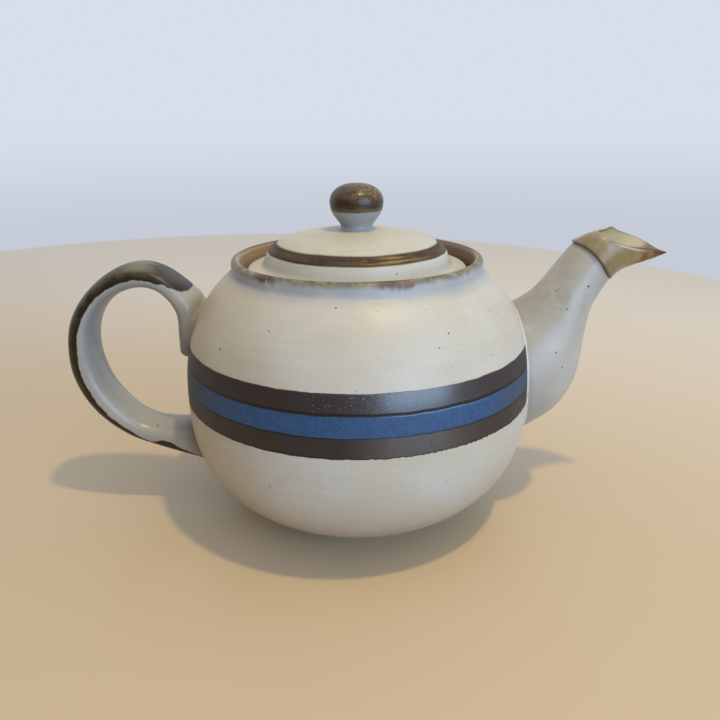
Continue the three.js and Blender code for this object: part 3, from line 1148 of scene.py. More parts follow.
@dataclass(frozen=True)
class HandleGlaze:
    """Iron glaze on the strap's outside and oatmeal on its inside, with a ragged border."""

    oatmeal: Oatmeal = Oatmeal(cream="#b3afa2", warm="#ada593", cool="#8c8f90")
    iron: BrushedIron = BrushedIron("#4a3c1c", "#2c1f11", "#0e0905", "#614f28")
    # Toasted clay and painted shade at the strap's join with the belly.
    toast_and_join_shade: str = "#6f5c40"
    crown: str = "#84866f"
    charred: str = "#3b3733"
    border: tuple[tuple[float, float], ...] = (
        (0.24, -1.3),
        (0.26, -0.64),
        (0.29, -0.31),
        (0.35, 0.13),
        (0.40, 0.14),
        (0.50, 0.13),
        (0.60, 0.10),
        (0.70, 0.0),
        (0.79, -0.10),
        (0.86, -0.16),
        (0.90, -0.44),
        (0.925, -0.05),
        (0.94, -0.30),
        (0.97, -0.8),
    )

    def depth(self, r: Recipe) -> Socket:
        """How far a point lies inside the iron, across the strap.

        Args:
            r: the material it goes into.

        Returns:
            The depth, 1 for the strap's whole width.
        """
        curve = r.add("ShaderNodeFloatCurve", {"Factor": 1.0, "Value": r.along})
        points = curve.mapping.curves[0].points
        while len(points) < len(self.border):
            points.new(0.5, 0.5)
        for point, (x, y) in zip(points, self.border):
            point.location = (x, 0.5 + 0.5 * y)
        curve.mapping.clip_min_y = -1
        curve.mapping.use_clip = False
        curve.mapping.update()
        ragged = r.scaled(r.noise(0.0030, 3.0, 0.65), 0.16, -0.08)
        return r.math("SUBTRACT", r.math("ADD", curve.outputs[0], ragged), r.across)

    def ironed(self, r: Recipe, depth: Socket) -> Socket:
        """The iron: grey-green on the crown, charred and streaked towards the pot.

        Args:
            r: the material it goes into.
            depth: how far a point lies inside the iron.

        Returns:
            Its colour.
        """
        iron = self.iron.colour(r, r.noise(0.006, 3.0, 0.6))
        top = r.between(r.along, 0.34, 0.41, 0.03)
        iron = r.lay(iron, self.crown, top, r.fade(r.across, 0.28, 0.12), 0.65)
        iron = r.lay(iron, self.charred, r.fade(r.along, 0.34, 0.30), 0.7)
        streaks = r.fade(r.brushed(90, 420, 90), 0.52, 0.60)
        streaks = r.times(streaks, r.fade(r.along, 0.38, 0.33))
        edge = r.fade(depth, 0.30, 0.04)
        root = r.fade(r.along, 0.85, 0.88)
        outer = r.times(r.fade(r.across, 0.12, 0.0), r.fade(r.along, 0.40, 0.50))
        return r.lay(iron, self.iron.dark, r.most(edge, streaks, root, outer), 0.9)

    def material(self) -> Material:
        """Mixes the finish.

        Returns:
            The finished material.
        """
        r = Recipe("handle glaze")
        depth = self.depth(r)
        mask = r.fade(depth, -0.02, 0.03)
        inside = r.times(r.fade(r.across, 0.55, 0.85), r.fade(r.z, 40 * MM, 70 * MM))
        thick = r.scaled(inside, 0.6, 0.3)
        light = self.oatmeal.cooled(r, self.oatmeal.ground(r), thick)
        colour = r.blend(mask, self.oatmeal.specked(r, light), self.ironed(r, depth))
        # Toasted clay and painted shade: browner near where the strap meets the belly, most low
        # down.
        toast_and_join_shade = r.scaled(r.fade(r.z, 50 * MM, 44 * MM), 0.42, 0.32)
        colour = r.lay(colour, self.toast_and_join_shade, toast_and_join_shade, r.fade(r.off_belly(), 9 * MM, 1 * MM))
        rough = r.scaled(mask, 0.10, 0.31)
        return r.dress(colour, Roughness=rough, Normal=self.oatmeal.skin(r))


@dataclass(frozen=True)
class LidGlaze:
    """Oatmeal with one iron ring round the dome."""

    oatmeal: Oatmeal = Oatmeal(cream="#cac7b9", warm="#c5bda8", cool="#c0c2c6")
    iron: BrushedIron = BrushedIron("#4e381c", "#301f0e", "#120a05", "#76582a")
    clay: BareClay = BareClay()
    # Painted highlight: the ring's gold glint.
    painted_glint: str = "#a88547"
    lighter_tone: str = "#77735f"
    ring: tuple[float, float] = (114.15 * MM, 117.43 * MM)
    hollow_height: float = 104.0 * MM

    def ringed(self, r: Recipe, level: Socket) -> Socket:
        """The ring's iron: darker edges, a painted highlight right of the front and greyish ends.

        Args:
            r: the material it goes into.
            level: the height, a little unsteady.

        Returns:
            Its colour.
        """
        streak = r.brushed(60, 60, 900)
        iron = self.iron.colour(r, streak)
        # Painted highlight: a gold glint on the ring right of the front.
        painted_shine = r.between(r.x, 5 * MM, 26 * MM, 5 * MM)
        iron = r.lay(iron, self.painted_glint, painted_shine, r.fade(streak, 0.4, 0.6), 0.6)
        ends = r.fade(r.math("ABSOLUTE", r.x), 30 * MM, 37 * MM)
        iron = r.lay(iron, self.lighter_tone, ends, 0.5)
        low, high = self.ring
        core = r.between(level, low + 0.65 * MM, high - 0.65 * MM, 0.35 * MM)
        return r.lay(iron, self.iron.brown, r.math("SUBTRACT", 1.0, core), 0.75)

    def material(self) -> Material:
        """Mixes the finish.

        Returns:
            The finished material.
        """
        r = Recipe("lid glaze")
        under = r.fade(r.z, 114 * MM, 112.5 * MM)
        colour = self.oatmeal.cooled(r, self.oatmeal.ground(r), under, 0.35)
        colour = self.oatmeal.specked(r, colour)
        level = r.math("ADD", r.z, r.scaled(r.noise(0.012, 1.0), 0.0004, -0.0002))
        mask = r.between(level, *self.ring, 0.32 * MM)
        colour = r.blend(mask, colour, self.ringed(r, level))
        bare = r.fade(r.z, self.hollow_height + 0.3 * MM, self.hollow_height)
        colour = r.lay(colour, self.clay.pale, bare)
        rough = r.scaled(mask, 0.20, self.oatmeal.sheen(r))
        return r.dress(colour, Roughness=rough, Normal=self.oatmeal.skin(r))


@dataclass(frozen=True)
class KnobGlaze:
    """Mottled iron glaze with painted highlights on the ball, and grey glaze on its stem, darkened
    partly as painted shade.
    """

    # Grey stem glaze, darkened partly as painted shade under the ball.
    oatmeal: Oatmeal = Oatmeal(cream="#9da1a4", warm="#969796")
    iron: BrushedIron = BrushedIron("#5d4b2b", "#3d2c1a", "#0c0805", "#7d6238")
    belt_colour: str = "#33241a"
    scratch_highlight: str = "#94794a"
    hem: str = "#6e6146"
    border: float = 130.0 * MM
    belt: tuple[float, float] = (131.8 * MM, 134.8 * MM)

    def material(self) -> Material:
        """Mixes the finish.

        Returns:
            The finished material.
        """
        r = Recipe("knob glaze")
        iron = self.iron.colour(r, r.brushed(150, 150, 420, 4.0, 0.65))
        iron = r.lay(iron, self.belt_colour, r.between(r.z, *self.belt, 1.2 * MM), 0.65)
        scratched = r.fade(r.brushed(900, 500, 1500, 4.0, 0.7), 0.52, 0.62)
        # Painted highlight: golden scratches only on the lit upper right of the ball.
        lit = r.times(r.fade(r.z, 133.5 * MM, 136 * MM), r.fade(r.x, -6 * MM, 4 * MM))
        iron = r.lay(iron, self.scratch_highlight, scratched, lit)
        edge = r.fade(r.z, self.border + 1.6 * MM, self.border + 0.8 * MM)
        iron = r.lay(iron, self.hem, edge, 0.6)
        iron = r.lay(iron, self.iron.dark, r.specks(0.0019, 0.00055, 5.0))
        level = r.math("ADD", r.z, r.scaled(r.noise(0.006, 2.0), 0.0008, -0.0004))
        mask = r.fade(level, self.border - 0.3 * MM, self.border + 0.3 * MM)
        colour = r.blend(mask, self.oatmeal.ground(r), iron)
        return r.dress(colour, Roughness=0.34, Normal=self.oatmeal.skin(r))


@dataclass(frozen=True)
class AmberVinyl:
    """Soft clear plastic that age has turned amber and stiff."""

    olive: str = "#ab9362"
    grey: str = "#b5a688"
    amber: str = "#925614"
    # Painted light: the lit far wall seen through the mouth.
    pale: str = "#f4e6ba"
    gold: str = "#8a6220"
    dark: str = "#2e1c0e"
    # Painted highlight along the near lip.
    painted_shine: str = "#fffaea"

    def material(self) -> Material:
        """Mixes the finish.

        Returns:
            The finished material.
        """
        r = Recipe("amber vinyl")
        around, up = r.along, r.across
        cloud = r.fade(r.noise(0.0060, 3.0, 0.6), 0.40, 0.65)
        colour = r.blend(cloud, tint(self.olive), tint(self.grey))
        aged = r.fade(r.noise(0.0050, 3.0, 0.6), 0.35, 0.60)
        colour = r.lay(colour, self.amber, r.fade(r.x, 112 * MM, 117 * MM), aged)
        # Painted light: paler on the far wall, behind the spout's axis.
        colour = r.lay(colour, self.pale, r.fade(r.y, 0.0, 3 * MM))
        colour = r.lay(colour, self.gold, r.fade(up, 0.10, 0.02), 0.8)
        cut = r.most(r.fade(up, 0.025, 0.010), r.fade(up, 0.978, 0.992))
        colour = r.lay(colour, self.dark, cut, 0.75)
        turn = r.math("ABSOLUTE", r.math("SUBTRACT", around, 0.5))
        tip = r.fade(turn, 0.46, 0.49)
        colour = r.lay(colour, self.dark, tip, r.fade(up, 0.90, 0.97))
        # Painted highlight: a bright streak along the near lip.
        lip = r.between(up, 0.88, 0.95, 0.03)
        colour = r.lay(colour, self.painted_shine, lip, r.between(around, 0.1, 0.26, 0.05), 0.7)
        crinkle = r.relief(r.noise(0.0035, 3.0, 0.6), 0.0003)
        clear = {"Alpha": 0.86, "Transmission_Weight": 0.40}
        return r.dress(colour, Roughness=0.30, Normal=crinkle, **clear)


@dataclass(frozen=True)
class Steel:
    """Stainless steel, pressed or drawn into wire."""

    name: str
    shade: str = "#b9bcbf"
    line: str = "#8c9094"
    roughness: float = 0.28
    brushed: bool = True

    def material(self) -> Material:
        """Mixes the finish.

        Returns:
            The finished material.
        """
        r = Recipe(self.name)
        lines = r.brushed(60, 60, 4000, 2.0)
        colour = r.lay(tint(self.shade), self.line, lines, 0.25)
        values = {"Value": lines, "To Min": self.roughness - 0.06, "To Max": self.roughness + 0.1}
        rough = r.add("ShaderNodeMapRange", values).outputs[0]
        if not self.brushed:
            return r.dress(colour, Metallic=1.0, Roughness=rough)
        return r.dress(colour, Metallic=1.0, Roughness=rough, Normal=r.relief(lines, 0.00001))


# The pieces


@dataclass
class Pot:
    """The thrown body with its spout and handle."""

    outside: Shell = BELLY
    inside: Shell = Shell(68.0 * MM, 60.0 * MM, 49.6 * MM)
    segments: int = 160
    shoulder: float = 106.0 * MM
    inner_shoulder: float = 97.2 * MM
    foot_top: float = 3.7 * MM
    collar_radius: float = 51.3 * MM
    rim_radius: float = 49.5 * MM
    rim_height: float = 112.0 * MM
    strainer_rows: tuple[int, ...] = (4, 5, 4)
    strainer_pitch: float = 8.5 * MM
    strainer_height: float = 62.5 * MM
    strainer_radius: float = 2.5 * MM
    drill_length: float = 26 * MM
    spout_steps: int = 60
    spout_sides: int = 56
    handle_steps: int = 130
    handle_sides: int = 40
    spout_wall: float = 4.0 * MM
    mouth_rounding: float = 1.6 * MM
    luting_depth: float = 0.5 * MM
    spout_flare: tuple[float, float] = (2.6 * MM, 0.5 * MM)
    handle_flare: tuple[float, float] = (2.2 * MM, 0.3 * MM)
    strap_roundness: float = 0.82
    spout_stations: tuple = (
        (40, 82, 61.5, 31, 27),
        (57, 86, 83.5, 43.2, 24),
        (71, 94, 93.3, 58, 18),
        (77, 99.5, 96, 79, 14.8),
        (82, 106.5, 97.5, 88, 12.6),
        (86, 112, 100.5, 95, 11.4),
        (88.5, 115, 106, 104, 10.7),
        (91.2, 117.4, 107, 105.4, 10.2),
    )
    handle_stations: tuple = (
        (-67.5, 68.4, -57, 88, 8.5),
        (-75.1, 69.7, -60, 91.5, 10),
        (-75.5, 77, -64, 92.5, 11),
        (-75.5, 89, -67.5, 97, 11),
        (-81, 97, -79, 106.5, 10),
        (-89.5, 99.5, -90, 109.5, 10),
        (-99.5, 96.5, -102.5, 105.5, 10),
        (-107, 89.5, -114.5, 95, 10),
        (-111, 79.5, -121.5, 81.5, 10),
        (-111, 67.5, -122.5, 62.5, 10),
        (-106.5, 54.5, -115.5, 46, 10),
        (-95.5, 42, -103, 34.5, 10),
        (-82.5, 38.5, -87, 27.1, 10),
        (-58, 39.5, -58, 17, 11),
    )

    def outline(self) -> Outline:
        """Draws the body's section.

        Returns:
            Its points, from the axis under the foot round to the axis inside.
        """
        foot = in_metres([(0, 2), (30.4, 2), (31, 0.6), (31.6, 0), (35.4, 0), (36, 0.6)])
        belly = self.outside.arc(self.foot_top, self.shoulder, 64)
        crease = in_metres([(51.7, 106.5), (51.35, 107.5)])
        half = self.collar_radius - self.rim_radius
        rim = []
        for share in shares(12):
            angle = share * math.pi
            height = self.rim_height - half + half * math.sin(angle)
            rim.append((self.rim_radius + half * math.cos(angle), height))
        top = [(47.0, 104.6), (46.9, 103.6), (41.6, 103.6), (41, 103)]
        ledge = in_metres([*top, (41, 101.6), (41.8, 100.9), (47.5, 99.6)])
        inner = self.inside.arc(self.inner_shoulder, self.inside.middle - self.inside.below, 40)
        return [*foot, *belly, *crease, *rim, *ledge, *inner[:-1], (0.0, inner[-1][1])]

    def throw_body(self) -> Object:
        """The body, without its strainer holes."""
        return throw("thrown_body", self.outline(), self.segments)

    def pierce(self, body: Object) -> None:
        """Drills the strainer holes behind the spout.

        Args:
            body: the thrown body.
        """
        drills = []
        for row, count in enumerate(self.strainer_rows):
            for i in range(count):
                y = (row - (len(self.strainer_rows) - 1) / 2) * self.strainer_pitch
                z = self.strainer_height + (i - (count - 1) / 2) * self.strainer_pitch
                place = {"location": (self.inside.radius, y, z), "rotation": (0, math.pi / 2, 0)}
                size = {"radius": self.strainer_radius, "depth": self.drill_length, "vertices": 20}
                bpy.ops.mesh.primitive_cylinder_add(**size, **place)
                drills.append(bpy.context.object)
        pick(*drills)
        bpy.ops.object.join()
        carve(body, named("drills"))

    def trimming_form(self) -> Object:
        """Throws the belly's form, a little shrunk, that luted pieces are cut back to.

        Returns:
            The closed form.
        """
        skin = self.outside.grown(-self.luting_depth)
        arc = skin.arc(self.foot_top, self.shoulder, 64)
        outline = [(0.0, arc[0][1]), *arc, (0.0, arc[-1][1])]
        return throw("trimming_form", outline, self.segments)

    @staticmethod
    def sections(stations: Sequence, count: int, inset: float = 0.0) -> list[Section]:
        """Lays oval sections between two rails.

        Args:
            stations: X and Z of the left rail and of the right rail, and the half width, in mm.
            count: how many steps there are.
            inset: how far each section is drawn in.

        Returns:
            The sections in order.
        """
        made = []
        for share in shares(count):
            lx, lz, rx, rz, width = spline(stations, share) * MM
            left, right = Vector((lx, 0, lz)), Vector((rx, 0, rz))
            half = (left - right) / 2
            half.length -= inset
            made.append(Section((left + right) / 2, half, width - inset))
        return made

    def rounded_end(self, sections: Sequence[Section], inward: float) -> list[Section]:
        """Rounds the last sections of the spout's skin or bore over to its mouth.

        Args:
            sections: the sections up to the mouth.
            inward: 1 where the end draws in, and -1 where it opens.

        Returns:
            The sections with their rounded end.
        """
        last = sections[-1]
        ahead, reach = last.ahead, self.mouth_rounding
        kept = [s for s in sections if (last.middle - s.middle).dot(ahead) > reach]
        for share in shares(6):
            angle = share * math.pi / 2
            back = ahead * reach * (1 - math.sin(angle))
            drawn = inward * reach * (1 - math.cos(angle))
            half = last.half.normalized() * (last.half.length - drawn)
            kept.append(Section(last.middle - back, half, last.half_width - drawn))
        return kept

    def lute_spout(self, body: Object) -> Object:
        """Pulls the hollow spout and flares its root onto the body.

        Args:
            body: the thrown body.

        Returns:
            The spout.
        """
        outside = self.sections(self.spout_stations, self.spout_steps)
        spout = pull("luted_spout", self.rounded_end(outside, 1), self.spout_sides)
        flare(spout, body, *self.spout_flare)
        inside = self.sections(self.spout_stations, self.spout_steps, self.spout_wall)
        bore = self.rounded_end(inside, -1)
        last = bore[-1]
        outwards = last.ahead * self.spout_wall
        bore.append(Section(last.middle + outwards, last.half, last.half_width))
        carve(spout, pull("bore", bore, self.spout_sides))
        carve(spout, self.trimming_form())
        finish_with(spout, "TRIANGULATE")
        return shade(spout)

    def lute_handle(self, body: Object) -> Object:
        """Pulls the strap and smooths both its roots onto the body.

        Args:
            body: the thrown body.

        Returns:
            The handle.
        """
        sections = self.sections(self.handle_stations, self.handle_steps)
        handle = pull("pulled_handle", sections, self.handle_sides, self.strap_roundness)
        flare(handle, body, *self.handle_flare)
        carve(handle, self.trimming_form())
        finish_with(handle, "TRIANGULATE")
        return shade(handle, 50)

    def build(self) -> None:
        """Makes, dresses and presents the three pieces."""
        body = self.throw_body()
        spout = self.lute_spout(body)
        handle = self.lute_handle(body)
        self.pierce(body)
        shade(body, 30)
        present(body, Body.POT, Slot.STRIPED, StripedGlaze().material(), "pot_body", "pot_collar")
        present(spout, Body.POT, Slot.OATMEAL, SpoutGlaze().material(), "spout")
        present(handle, Body.POT, Slot.HANDLE, HandleGlaze().material(), "handle")


@dataclass
class Lid:
    """The sunk lid with its ball knob."""

    segments: int = 144
    dome_radius: float = 37.4 * MM
    dome_base: float = 109.3 * MM
    dome_height: float = 13.1 * MM
    dome_rise: float = 2.9
    wall: float = 4.3 * MM
    steam_hole: tuple[float, float, float] = (9.0 * MM, 2.3 * MM, 0.9 * MM)
    knob_seat: float = 122.1 * MM
    seat_radius: float = 8 * MM
    knob_stem: tuple = ((7.3, 122.1), (6.45, 123.8), (7.85, 126), (9.3, 127.9), (10.3, 129.9))
    knob_widest: tuple[float, float] = (10.85, 132.8)
    knob_top: float = 140.4
    knob_roundness: float = 0.88

    def dome(self, start: float, end: float, inset: float, count: int) -> Outline:
        """Draws a part of the dome, its points closer together as it flattens.

        Args:
            start: the height of the first point.
            end: the height of the last one.
            inset: how far the skin lies inside the dome.
            count: how many steps there are.

        Returns:
            The points in order.
        """
        made = []
        for share in shares(count):
            height = start + (end - start) * math.sin(share * math.pi / 2)
            risen = min(1.0, (height - self.dome_base) / (self.dome_height - inset))
            radius = (self.dome_radius - inset) * math.sqrt(1 - risen**self.dome_rise)
            made.append((radius, height))
        return made

    def outline(self) -> Outline:
        """Draws the lid's section.

        Returns:
            Its points, from the axis in its hollow round to the axis on top.
        """
        hollow_top = self.dome_base + self.dome_height - self.wall
        hollow = self.dome(self.dome_base, hollow_top, self.wall, 16)[::-1]
        skirt = [(32.8, 104.4), (32.8, 98), (33.5, 97), (34.8, 97), (35.5, 98), (35.5, 104.4)]
        flange = [(44.2, 104.4), (44.8, 105), (44.8, 107.1), (44.2, 107.7), (42.6, 107.82)]
        cove = [(40.8, 108.05), (39.9, 108.2), (39.2, 108.4), (38.75, 108.8), (38.4, 109.3)]
        rim = in_metres([*skirt, *flange, *cove, (38.1, 109.9), (37.8, 110.7), (37.5, 111.7)])
        crown = self.dome(self.dome_base + 3.2 * MM, self.knob_seat, 0.0, 28)
        crown = [point for point in crown if point[0] > self.seat_radius]
        seat = [(self.seat_radius, self.knob_seat), (0.0, self.knob_seat)]
        return [*hollow, *rim, *crown, *seat]

    def build(self) -> None:
        """Makes, dresses and presents the lid and its knob."""
        lid = throw("glazed_lid", self.outline(), self.segments)
        x, y, radius = self.steam_hole
        bpy.ops.mesh.primitive_cylinder_add(
            radius=radius, depth=4 * self.wall, vertices=24, location=(x, y, self.knob_seat)
        )
        carve(lid, named("steam_drill"))
        soften(lid, 0.35 * MM)
        present(shade(lid), Body.LID, Slot.LID, LidGlaze().material(), "lid")
        knob = throw("ball_knob", self.knob_outline(), 96)
        present(shade(knob), Body.LID, Slot.KNOB, KnobGlaze().material(), "lid_knob")

    def knob_outline(self) -> Outline:
        """Draws the knob's section.

        Returns:
            Its points, from the axis at its seat to its top.
        """
        widest, rise = self.knob_widest, self.knob_top - self.knob_widest[1]
        made = [(0.0, self.knob_seat - 0.3 * MM), (7.6 * MM, self.knob_seat - 0.3 * MM)]
        made += in_metres([spline([*self.knob_stem, widest], share) for share in shares(24)][:-1])
        for share in shares(20):
            angle = share * math.pi / 2
            radius = widest[0] * max(0.0, math.cos(angle)) ** self.knob_roundness
            height = widest[1] + rise * math.sin(angle) ** self.knob_roundness
            made.append((radius * MM, height * MM))
        made[-1] = (0.0, made[-1][1])
        return made


@dataclass
class Guard:
    """The soft drip guard, pushed over the spout's tip and bent into a beak."""

    centre: Vector = field(default_factory=lambda: Vector((96.6, 0, 108.4)) * MM)
    slope: float = math.radians(47.6)
    reach: tuple[float, float] = (11.1 * MM, 12.0 * MM)
    offset: float = -0.3 * MM
    lifts: tuple = (
        (0, 0.2),
        (30, -0.2),
        (60, -0.1),
        (90, 1.15),
        (120, 1.78),
        (150, 1.2),
        (180, 0.2),
    )
    columns: int = 160
    rows: int = 26
    thickness: float = 0.6 * MM
    inwards: float = 1.0
    dish: float = 13.5
    swell: float = 3.6
    mouth: tuple = (
        (125.2, -5, 112.4),
        (118.5, -6, 114.2),
        (112, -8.5, 115.2),
        (106.5, -9.8, 116.4),
        (101.5, -10, 118),
        (97, -7.5, 120),
        (98, -2, 120.9),
        (101.5, 0.5, 121.1),
        (104.8, 2.5, 122),
        (108.5, 6, 120),
        (113.5, 6, 118.2),
        (118.5, 3, 116),
        (122.8, -1.5, 113.3),
    )

    def lower(self, turn: float) -> Vector:
        """Finds a point on the edge that grips the spout.

        Args:
            turn: the angle round the spout, 0 below it.

        Returns:
            The point.
        """
        along = Vector((math.cos(self.slope), 0, math.sin(self.slope)))
        across = Vector((math.sin(self.slope), 0, -math.cos(self.slope)))
        side = Vector((0, -1, 0))
        across_by = self.offset + self.reach[0] * math.cos(turn)
        out = across * across_by + side * self.reach[1] * math.sin(turn)
        return self.centre + out + along * self.lift(turn)

    def lift(self, turn: float) -> float:
        """How far the gripping edge stands above its plane, alike on both sides."""
        degrees = 180 - abs(180 - math.degrees(turn) % 360)
        return spline(self.lifts, degrees / 180).y * MM

    def upper(self, share: float) -> Vector:
        """Finds a point on the free edge, which closes on itself.

        Args:
            share: how far round the edge, from 0 to 1.

        Returns:
            The point.
        """
        count = len(self.mouth)
        place = (share % 1.0) * count
        index = int(place)
        around = [self.mouth[(index + k) % count] for k in (-1, 0, 1, 2)]
        return spline(around, (1 + place - index) / 3) * MM

    def point(self, column: float, row: float) -> Vector:
        """Finds a point on the skin.

        Args:
            column: how far round, from 0 to 1.
            row: 0 on the gripping edge and 1 on the free one.

        Returns:
            The point.
        """
        low, high = self.lower(column * math.tau), self.upper(column)
        keel = max(0.0, math.cos(column * math.tau)) ** 2
        dish = self.dish * row * (1 - row) ** 3
        swell = self.swell * row * (1 - row)
        lifted = Vector((0, 0, dish * keel + swell * (1 - keel))) * MM
        return low * (1 - row) + high * row + lifted

    def build(self) -> None:
        """Makes, dresses and presents the guard."""
        size = {"x_subdivisions": self.columns, "y_subdivisions": self.rows}
        bpy.ops.mesh.primitive_grid_add(size=1, **size)
        guard = named("amber_guard")
        unrolled = guard.data.uv_layers.active.data
        for loop in guard.data.loops:
            place = guard.data.vertices[loop.vertex_index].co
            unrolled[loop.index].uv = (place.x + 0.5, place.y + 0.5)
        for vertex in guard.data.vertices:
            vertex.co = self.point(vertex.co.x + 0.5, vertex.co.y + 0.5)
        with Editing(guard):
            face_outwards()
        finish_with(guard, "SOLIDIFY", thickness=self.thickness, offset=self.inwards)
        soften(guard, 0.12 * MM, 2, 60)
        present(shade(guard, 50), Body.GUARD, Slot.VINYL, AmberVinyl().material(), "spout_guard")


@dataclass
class Infuser:
    """The lift-out basket: a pressed ring, two bands, a lap strip and woven wire."""

    segments: int = 128
    radius: float = 38.8 * MM
    floor: float = 32.0 * MM
    top: float = 101.5 * MM
    wire: float = 0.32 * MM
    strands: int = 180
    weave_lift: float = 0.55
    floor_pitch: float = 1.35 * MM
    floor_inset: float = 0.8 * MM
    strip_width: float = 5 * MM
    strip_span: tuple[float, float] = (35.5 * MM, 95.7 * MM)
    strip_stand_off: float = 0.3 * MM

    def ring(self, name: str, pairs: list, edge: float) -> Object:
        """Spins a steel ring and softens its edges.

        Args:
            name: the ring's name.
            pairs: its section, in millimetres.
            edge: how far its edges are rounded.

        Returns:
            The ring.
        """
        piece = throw(name, in_metres([*pairs, pairs[0]]), self.segments)
        soften(piece, edge)
        return shade(piece)

    def strand(self, points: Sequence[Vector], cyclic: bool) -> Object:
        """Draws one wire, four sided.

        Args:
            points: what it runs through.
            cyclic: whether it closes on itself.

        Returns:
            The wire.
        """
        curve = bpy.data.curves.new("strand", "CURVE")
        curve.dimensions = "3D"
        line = curve.splines.new("POLY")
        line.points.add(len(points) - 1)
        for point, place in zip(line.points, points):
            point.co = (*place, 1)
        line.use_cyclic_u = cyclic
        curve.bevel_depth = self.wire / 2
        curve.bevel_resolution = 0
        curve.use_fill_caps = not cyclic
        wire = bpy.data.objects.new("strand", curve)
        bpy.context.collection.objects.link(wire)
        pick(wire)
        bpy.ops.object.convert(target="MESH")
        return bpy.context.object

    def copies(self, piece: Object, places: Iterable[Matrix]) -> list[Object]:
        """Copies a piece, mesh and all.

        Args:
            piece: the piece to copy.
            places: where the copies go.

        Returns:
            The copies.
        """
        made = []
        for place in places:
            copy = piece.copy()
            copy.data = piece.data.copy()
            copy.data.transform(place)
            bpy.context.collection.objects.link(copy)
            made.append(copy)
        return made

    def weave_sleeve(self) -> Object:
        """Weaves the basket's wall of upright wires over and under rings of wire.

        Returns:
            The wall.
        """
        middle = self.radius - self.wire
        lift = self.wire * self.weave_lift
        pitch = math.tau * middle / self.strands
        rows = round((self.top - self.floor) / pitch)
        step = (self.top - self.floor) / rows
        wires: list[Object] = []
        for phase in (0, 1):
            uprights = [
                Vector((middle + lift * (-1) ** (row + phase), 0, self.floor + step * row))
                for row in range(rows + 1)
            ]
            upright = self.strand(uprights, cyclic=False)
            turns = range(phase, self.strands, 2)
            places = [Matrix.Rotation(math.tau * turn / self.strands, 4, "Z") for turn in turns]
            wires += self.copies(upright, places)
            bpy.data.objects.remove(upright)
            hoop_points = [
                Matrix.Rotation(math.tau * turn / self.strands, 3, "Z")
                @ Vector((middle - lift * (-1) ** (turn + phase), 0, 0))
                for turn in range(self.strands)
            ]
            hoop = self.strand(hoop_points, cyclic=True)
            heights = [self.floor + step * row for row in range(phase, rows + 1, 2)]
            wires += self.copies(hoop, [Matrix.Translation((0, 0, z)) for z in heights])
            bpy.data.objects.remove(hoop)
        pick(*wires)
        bpy.ops.object.join()
        return shade(named("woven_sleeve"), 60)

    def weave_floor(self) -> Object:
        """Weaves the basket's round floor.

        Returns:
            The floor.
        """
        reach = self.radius - self.floor_inset
        lift = self.wire * self.weave_lift
        count = int(reach / self.floor_pitch)
        middle = self.floor + self.wire
        wires = []
        for quarter in (0, 1):
            for i in range(-count, count + 1):
                offset = i * self.floor_pitch
                half = int(math.sqrt(reach**2 - offset**2) / self.floor_pitch)
                if half < 1:
                    continue
                points = []
                for k in range(-half, half + 1):
                    x, y = k * self.floor_pitch, offset
                    z = middle + lift * (-1) ** (i + k + quarter)
                    points.append(Vector((y, x, z) if quarter else (x, y, z)))
                wires.append(self.strand(points, cyclic=False))
        pick(*wires)
        bpy.ops.object.join()
        return shade(named("woven_floor"), 60)

    def strip(self) -> Object:
        """Bends the strip over the sleeve's lap seam.

        Returns:
            The strip.
        """
        bpy.ops.mesh.primitive_grid_add(x_subdivisions=8, y_subdivisions=40, size=1)
        strip = named("lap_strip")
        inner = self.radius + self.strip_stand_off
        low, high = self.strip_span
        for vertex in strip.data.vertices:
            angle = math.pi / 2 + vertex.co.x * self.strip_width / inner
            height = low + (vertex.co.y + 0.5) * (high - low)
            vertex.co = (inner * math.cos(angle), inner * math.sin(angle), height)
        with Editing(strip):
            face_outwards()
        finish_with(strip, "SOLIDIFY", thickness=0.5 * MM, offset=0.0)
        soften(strip, 0.1 * MM)
        return shade(strip)

    def build(self) -> None:
        """Makes, dresses and presents the basket's six pieces."""
        pressed = Steel("pressed steel").material()
        woven = Steel("woven steel", "#a3a6a9", roughness=0.34, brushed=False).material()
        hanging = [(37.2, 97), (38, 97), (38, 103.6), (43.6, 103.6), (43.6, 104.4), (37.2, 104.4)]
        clamp = [(39.1, 96), (39.9, 96), (39.9, 101), (39.1, 101)]
        foot = [(36.7, 31), (39.7, 31), (39.7, 35.2), (39.1, 35.2), (39.1, 31.6), (36.7, 31.6)]
        flange = self.ring("hanging_ring", hanging, 0.25 * MM)
        present(flange, Body.INFUSER, Slot.PRESSED, pressed, "infuser_flange_ring")
        band = self.ring("clamp_ring", clamp, 0.2 * MM)
        present(band, Body.INFUSER, Slot.PRESSED, pressed, "infuser_clamp_band")
        sleeve = self.weave_sleeve()
        present(sleeve, Body.INFUSER, Slot.WOVEN, woven, "infuser_mesh_sleeve")
        present(self.strip(), Body.INFUSER, Slot.PRESSED, pressed, "infuser_seam_strip")
        present(self.weave_floor(), Body.INFUSER, Slot.WOVEN, woven, "infuser_mesh_floor")
        base = self.ring("base_ring", foot, 0.15 * MM)
        present(base, Body.INFUSER, Slot.PRESSED, pressed, "infuser_foot_band")


# Studio


class LampOutline(Enum):
    """The outlines of a soft lamp."""

    ROUND = "ELLIPSE"
    SQUARE = "RECTANGLE"


